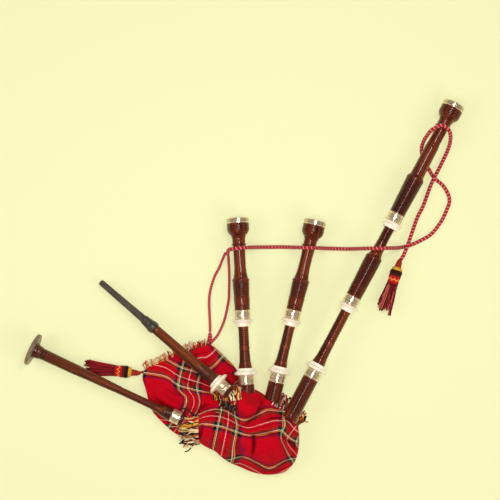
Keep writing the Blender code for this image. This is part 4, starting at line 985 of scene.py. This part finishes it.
# %% [markdown]
# ## How the cloth lies
# Cloth over a slack bag slides, turns and gathers. Its pattern is described by a few patches: at each, how
# far along the sett the cloth is both ways and which way it lies. Between patches the pattern is the
# average of what each would say, weighted by nearness, which turns straight stripes into sweeping curves.


# %% Patches of cloth
def weave_at(x, y):
    """Place in the cloth, in mm, at plan points in mm: sum of w (p, q) / sum of w over the patches, with
    w = 1 / (1 + d^2 / r^2)^3 and (p, q) = (p0, q0) + the point's offset turned by the patch's lie."""
    total, p_sum, q_sum = 1e-12, 0.0, 0.0
    for cx, cy, lie, p0, q0, reach in PATCHES:
        dx, dy = x - cx, y - cy
        weight = 1.0 / (1.0 + (dx ** 2 + dy ** 2) / reach ** 2) ** 3
        c, s = math.cos(math.radians(lie)), math.sin(math.radians(lie))
        p_sum = p_sum + weight * (p0 + c * dx + s * dy)
        q_sum = q_sum + weight * (q0 - s * dx + c * dy)
        total = total + weight
    return p_sum / total, q_sum / total


half = SETT_LONG / MM
# x, y, lie in degrees, place in the sett across and along, reach
PATCHES = (
    (-61, 0, -12, half - 14, 22, 45),
    (56, -33, 0, 2 * half, 0, 34),
    (46, 16, 12, 2 * half + 11, 49, 26),
    (25, 48, 21, 2 * half + 3, 80, 28),
    (70, 50, -10, 2 * half + 29, 80, 26),
    (92, 0, -48, 3 * half, 46, 26),
    (-4, 60, -8, 2 * half - 14, 2 * half - 12, 26),
    (12, -62, -30, 2 * half - 4, -half + 14, 28),
    (76, -66, 30, 2 * half + 14, -44, 24),
    (-128, 118, -14, -half, 3 * half, 42),
    (-194, 112, -6, -2 * half, 3 * half - 36, 34),
    (-134, 68, -18, -2 * half + 38, 2 * half - 2, 26),
    (-64, 150, -44, -half + 24, 4 * half + 20, 32),
)
print("patches", len(PATCHES), "red field", weave_at(np.array([56.0]), np.array([-33.0])))

# %% [markdown]
# ## The bag in its cover
# Seen from above the bag has a main lobe, a lobe under the blowpipe and a neck towards the chanter. The
# surface is a set of rings from the top to the rim and back under to the flat base. Over that go broad
# swellings and the creases between them: each is a bell curve across a bowed line that fades at its ends.

# %% Sizes of the bag, its swellings and its folds
BAG_CENTRE = (-42.0, 48.0)
BAG_OUTLINE = (
    (113, 14), (98, 46), (72, 67), (40, 80), (0, 98), (-20, 132), (-48, 165), (-75, 191), (-92, 198),
    (-136, 183), (-180, 165), (-213, 147), (-235, 131), (-222, 90), (-214, 51), (-186, 20), (-152, -8),
    (-114, -15), (-70, -42), (-15, -77), (40, -95), (84, -90), (108, -64), (115, -31),
)
# how far back from its mouth each stock goes under the cloth, and the stock's radius, in mm
SLEEVES = {"tenor_left": (34, 17.8), "tenor_right": (50, 17.8), "bass": (104, 17.8), "blowpipe": (24, 15.8),
           "chanter": (25, 15.8)}
CLOTH_OVER, SLEEVE_FADE = 3.0, 118.0
RIM, BASE, BODY, SIDE_LOBE, NECK = 22.0, 26.0, 95.0, 47.0, 72.0
FLAT = 0.74
# x, y, swelling in mm, reach
SWELLINGS = ((-68, 56, 13, 20), (56, -33, 10, 32), (-2, 58, 9, 24), (-134, 66, 7, 24), (80, 20, 7, 24),
             (-60, -10, 6, 32), (0, -50, 5, 26), (-190, 110, 6, 26), (-70, 140, 8, 26), (20, 24, 6, 24))
# start x, y, end x, y, bow, width, height (negative for a crease), all in mm
FOLDS = (
    (-112, 46, -64, 64, 6, 5, -9), (13, 8, 8, -52, 4, 4, -13), (6, -4, 74, -4, 13, 4, -9),
    (-14, 22, 34, 74, -8, 5, -11), (-28, -42, 44, -82, 3, 4.5, -8), (68, -4, 108, -36, 5, 4, -8),
    (54, -74, 104, -42, -6, 4, -8), (-10, 12, 60, 44, 14, 4, -3.5), (30, 12, 92, 40, 10, 5, -3),
    (-172, 112, -106, 72, -5, 5, -4), (-196, 92, -120, 50, -6, 5, -3), (-160, 140, -100, 118, 5, 5, -3),
    (-118, 110, -84, 84, 4, 4, -5), (-60, 38, -8, 22, -4, 5, -3), (-92, 34, -40, 50, 5, 5, -5),
    (-78, 26, -30, 10, 4, 6, 2.5), (20, 60, 66, 58, 6, 4, 3), (40, 8, 90, 12, 6, 5, 3),
    (62, -50, 98, -60, 4, 4, 2.5), (-210, 120, -150, 100, 4, 5, 2.5), (-40, -20, -20, -58, 3, 5, -2.5),
    (-92, -10, -84, 24, -3, 5, -2.5), (-108, 34, -98, -18, -4, 4, -5), (-72, 170, -28, 120, -5, 6, -4),
    (-90, 190, -50, 130, 4, 5, 3), (30, 30, 96, 24, 10, 3.5, -6), (44, 54, 92, 34, 4, 3.5, -5),
    (-6, 6, 44, 22, 6, 3, -5), (20, -84, 90, -72, -5, 3.5, -6), (84, -10, 112, -46, 3, 3, -5),
    (-96, 26, -108, -14, 3, 4, -8), (-88, 46, -30, 34, 5, 3.5, -6), (-184, 98, -130, 78, -4, 3.5, -5),
    (-150, 124, -108, 92, 4, 3.5, -6), (-210, 84, -150, 44, -5, 4, -6), (-52, 128, -28, 100, -4, 4, -6),
    (-80, -24, -30, -52, 3, 4, -4), (8, 74, 30, 44, 4, 4, -5), (-26, 66, -4, 40, 4, 4, -6),
    (-46, 96, -114, 152, 0, 16, -9),
)


print("outline points", len(BAG_OUTLINE), "swellings", len(SWELLINGS), "folds", len(FOLDS))


# %% Outline and lobes
def outline_reach(angle):
    """Distance from the bag's centre to its outline at an angle, averaged over 0.07 radian to each side."""
    corners = np.array(BAG_OUTLINE, float) - BAG_CENTRE
    angles = np.arctan2(corners[:, 1], corners[:, 0])
    order = np.argsort(angles)
    angles, reaches = angles[order], np.hypot(corners[:, 0], corners[:, 1])[order]
    fine = np.linspace(-math.pi, math.pi, 721)
    nearby = [np.interp(fine + shift, angles, reaches, period=2 * math.pi)
              for shift in np.linspace(-0.07, 0.07, 9)]
    return np.interp(angle, fine, np.mean(nearby, axis=0), period=2 * math.pi)


def bag_height(x, y):
    """The highest of a slack base, the main lobe, the side lobe and the ridge of the neck, in mm."""
    main = np.exp(-((((x - 38) / 100) ** 2 + ((y + 2) / 88) ** 2) ** 1.6))
    side = np.exp(-((((x + 128) / 82) ** 2 + ((y - 122) / 52) ** 2) ** 1.4))
    seat, _, _, along = PIPE["chanter"]
    inward = -((x - seat[0] / MM) * along[0] + (y - seat[1] / MM) * along[1])
    across = (x - seat[0] / MM) * along[1] - (y - seat[1] / MM) * along[0]
    ridge = np.exp(-(across / 40) ** 2) / (1.0 + np.exp(-(inward - 40) / 7))
    return BASE + np.maximum.reduce([(BODY - BASE) * main, (SIDE_LOBE - BASE) * side, (NECK - BASE) * ridge])


def sleeves_at(x, y):
    """Cloth drawn over the stocks: over each, the stock's top plus 3 mm, falling away at its sides."""
    best = np.zeros_like(x)
    for pipe, (start, radius) in SLEEVES.items():
        seat, _, _, along = PIPE[pipe]
        flat = math.hypot(along[0], along[1])
        inward = -((x - seat[0] / MM) * along[0] + (y - seat[1] / MM) * along[1]) / flat
        across = ((x - seat[0] / MM) * along[1] - (y - seat[1] / MM) * along[0]) / flat
        top = seat[2] / MM - inward * along[2] / flat + radius + CLOTH_OVER
        begin = 1.0 / (1.0 + np.exp(-(inward - start) / 1.6))
        end = 1.0 / (1.0 + np.exp((inward - SLEEVE_FADE) / 12.0))
        side = np.exp(-np.abs(across / (radius + 15.0)) ** 2.6)
        best = np.maximum(best, (BASE + (top - BASE) * side) * begin * end)
    return best


print("the bag reaches", outline_reach(np.array([0.0, 1.6, 3.1])).round(1), "mm at three angles")


# %% Folds, wrinkles and the finished height
def folds_at(x, y):
    """Sum of the swellings and folds at plan points."""
    total = np.zeros_like(x)
    for cx, cy, size, reach in SWELLINGS:
        total += size * np.exp(-((x - cx) ** 2 + (y - cy) ** 2) / reach ** 2)
    for x0, y0, x1, y1, bow, width, size in FOLDS:
        long = math.hypot(x1 - x0, y1 - y0)
        ux, uy = (x1 - x0) / long, (y1 - y0) / long
        t = ((x - x0) * ux + (y - y0) * uy) / long
        off = (y - y0) * ux - (x - x0) * uy - bow * 4 * t * (1 - t)
        fade = np.clip(1.0 - (2 * t - 1) ** 2, 0.0, 1.0) ** 0.7
        total += size * fade * np.exp(-(off / width) ** 2)
    return total


def wrinkles_at(x, y):
    """Fine unevenness: waves of 11 to 40 mm, each bent by the one before."""
    wave = 0.9 * np.sin(x / 9.0 + 2.2 * np.sin(y / 21.0)) * np.sin(y / 12.0 + 1.7 * np.sin(x / 17.0))
    return wave + 0.45 * np.sin((x + 0.6 * y) / 3.4 + 2.0 * np.sin((x - y) / 13.0))


def top_at(x, y):
    """Height of the finished cover over plan points: rim + (top - rim) (1 - ring^2)^0.425, falling to zero
    outside."""
    dx, dy = x - BAG_CENTRE[0], y - BAG_CENTRE[1]
    ring = np.hypot(dx, dy) / outline_reach(np.arctan2(dy, dx))
    dome = np.clip(1.0 - ring ** 2, 0.0, 1.0) ** 0.425
    loose = np.maximum(folds_at(x, y) + 3.0, -2.6) + wrinkles_at(x, y)
    high = RIM + (bag_height(x, y) - RIM + loose) * dome
    edge = np.clip((1.0 - ring) / 0.05, 0.0, 1.0)
    high = np.maximum(high, (sleeves_at(x, y) + 0.7 * wrinkles_at(x, y)) * edge)
    return np.where(ring < 1.0, high, RIM * np.exp(-(ring - 1.0) * 14.0))


print("top of the main lobe", top_at(np.array([38.0]), np.array([-2.0])).round(1), "mm")


# %% Cover
# each stock's length and the radius of the hole it comes out of, inside its wood, in mm
STOCK_HOLES = (("tenor_left", TENOR_STOCK, 15.4), ("tenor_right", TENOR_STOCK, 15.4),
               ("bass", BASS_STOCK, 15.4), ("blowpipe", BLOW_STOCK, 13.8), ("chanter", CHANTER_STOCK, 13.8))


def cover_mesh(name, rings, columns):
    """Rings from the middle of the top, over the rim, to the base, with the quads that lie inside a stock
    left out, so each stock comes out of a hole whose edge is buried in its wood."""
    s = np.linspace(0.0, 1.0, rings) ** 0.8
    top_ring = np.sin(0.5 * math.pi * s)
    under = np.linspace(0.0, 1.0, rings // 4)[1:]
    lower_ring = 1.0 - (1.0 - 0.02) * under ** 1.2
    angle = np.linspace(-math.pi, math.pi, columns, endpoint=False)
    ring = np.concatenate([top_ring, lower_ring])[:, None] * np.ones(columns)
    reach = outline_reach(angle)
    x = BAG_CENTRE[0] + ring * reach * np.cos(angle)
    y = BAG_CENTRE[1] + ring * reach * np.sin(angle)
    height = top_at(x, y)
    tuck = np.clip((1.0 - ring) / (1.0 - FLAT), 0.0, 1.0)
    foot = RIM * (1.0 - np.sqrt(1.0 - (1.0 - tuck) ** 2))
    on_top = (np.arange(len(ring)) < rings)[:, None]
    height = np.where(on_top, np.where(ring > 0.9999, RIM, height), foot)
    points = np.stack([x, y, height], axis=-1).reshape(-1, 3) * MM
    faces, _ = grid_faces(len(ring), columns, False, True)
    middle = points[faces].mean(axis=1)
    keep = np.ones(len(faces), bool)
    for pipe, length, radius in STOCK_HOLES:
        origin, _, _, along = PIPE[pipe]
        h = (middle - origin) @ along
        away = np.linalg.norm(middle - origin - h[:, None] * along, axis=1)
        keep &= ~((away < radius * MM) & (h > -length * MM) & (h < 25 * MM))
    p, q = weave_at(x.ravel(), y.ravel())
    # The third number is how deep in a crease a point lies, which the tartan turns into painted shade.
    weave = np.stack([p * MM, q * MM, np.clip(-folds_at(x, y).ravel() / 7.0, 0.0, 1.0)], axis=1)
    return mesh_from_arrays(name, points, faces[keep], None, {"weave": weave}, math.radians(75))


cloth = cover_mesh("tartan_cover", 170, 420)
cover = add_piece("tartan_cover", cloth, TARTAN, "root", ["bag_cover"])
print("cover", len(cover.data.polygons), "quads")

# %% [markdown]
# ## Ravelled edges
# Where the cover ends, at the sleeves and along its open edge, the cross threads have been pulled out and
# the rest curl loose in the colours of the stripes. Each yarn is one thin tube along a wandering line.


# %% Fringes
YARN_TINTS = ("1a1210", "f0dcb0", "e0a838", "b5141c", "1a1210", "dcb468", "c8641c", "231a12")


def fringe(name, start, end, count, heading, length, thick=1.0, lift=1.6, sway=2.4, tints=YARN_TINTS):
    """Yarns from a line on the cover, each heading off at an angle in degrees, wandering by sines, and lying
    on the surface below it or hanging to the table. start and end are plan points in mm."""
    steps = 12
    s = np.linspace(0.0, 1.0, steps)
    t = (np.arange(count) + 0.5) / count + rng.uniform(-0.3, 0.3, count) / count
    base = np.array(start, float) + t[:, None] * (np.array(end, float) - np.array(start, float))
    aim = np.radians(heading + rng.normal(0, 9, count))
    run = length * rng.uniform(0.78, 1.1, count)
    phase = rng.uniform(0, 6.28, count)
    wander = sway * np.sin(s * rng.uniform(5, 8, count)[:, None] + phase[:, None]) * s
    along = run[:, None] * s
    x = base[:, :1] + along * np.cos(aim)[:, None] - wander * np.sin(aim)[:, None]
    y = base[:, 1:] + along * np.sin(aim)[:, None] + wander * np.cos(aim)[:, None]
    ground = np.maximum(top_at(x, y), 0.0) + thick
    hop = lift * (np.abs(np.sin(s * rng.uniform(3, 7, count)[:, None])) + 0.4)
    z = np.maximum(ground + hop, thick + 0.2)
    for _ in range(2):
        z[:, 1:-1] = np.maximum(z[:, 1:-1], (z[:, :-2] + 2 * z[:, 1:-1] + z[:, 2:]) / 4)
    paths = np.stack([x, y, z], axis=-1) * MM
    shades = np.array([linear(code)[:3] for code in tints])[rng.integers(0, len(tints), count)]
    mesh = tubes(name, paths, thick * MM, 6, shades * rng.uniform(0.8, 1.1, (count, 1)))
    return add_piece(name, mesh, YARN, "root", ["bag_cover"])


DARK_TINTS = ("1a1210", "1a1210", "f0e0c8", "a01218", "173a1e", "b5141c")
RED_TINTS = ("c4121c", "8a1218", "d9a93a", "e8c9a0")
fringe("neck_fringe", (-106, 40), (-106, -26), 44, 182, 42, thick=1.4, sway=3.4, lift=2.2)
fringe("neck_fringe_low", (-112, -8), (-104, -28), 14, 208, 38, thick=1.4, sway=5.0, lift=3.0)
fringe("blowpipe_fringe", (-72, 72), (-12, 82), 48, 100, 24, thick=1.4, sway=3.4, lift=3.0)
# The yarns in the hollow by the blowpipe get darker tints than the rest: painted shade in the hollow.
fringe("blowpipe_hollow", (-64, 64), (-30, 46), 34, 60, 20, thick=1.4, sway=3.5, lift=1.0,
       tints=("120c0a", "2a0c0a", "4a0c0e", "1a1210", "b08a48"))
fringe("tenor_fringe", (52, 68), (88, 48), 34, 64, 26, thick=1.25, sway=2.8, lift=3.0, tints=DARK_TINTS)
fringe("bass_fringe", (88, 44), (112, 14), 40, 34, 30, thick=1.3, sway=4.6, lift=4.0)
fringe("open_edge_fringe", (-228, 138), (-120, 186), 54, 112, 15, thick=0.9, sway=2.4, lift=1.2,
       tints=("d9a93a", "b5141c", "e8c9a0", "c2501c"))
fringe("open_edge_tip", (-118, 186), (-84, 194), 16, 96, 13, thick=0.9, sway=2.2, lift=1.2, tints=RED_TINTS)
fringe("flap_fringe", (-36, 132), (-16, 104), 12, 20, 12, thick=0.9, sway=2.0, lift=1.0, tints=DARK_TINTS)
print("fringes done")

# %% [markdown]
# ## Finish

# %% Sizes and check
bpy.context.scene.view_settings.view_transform = "Standard"
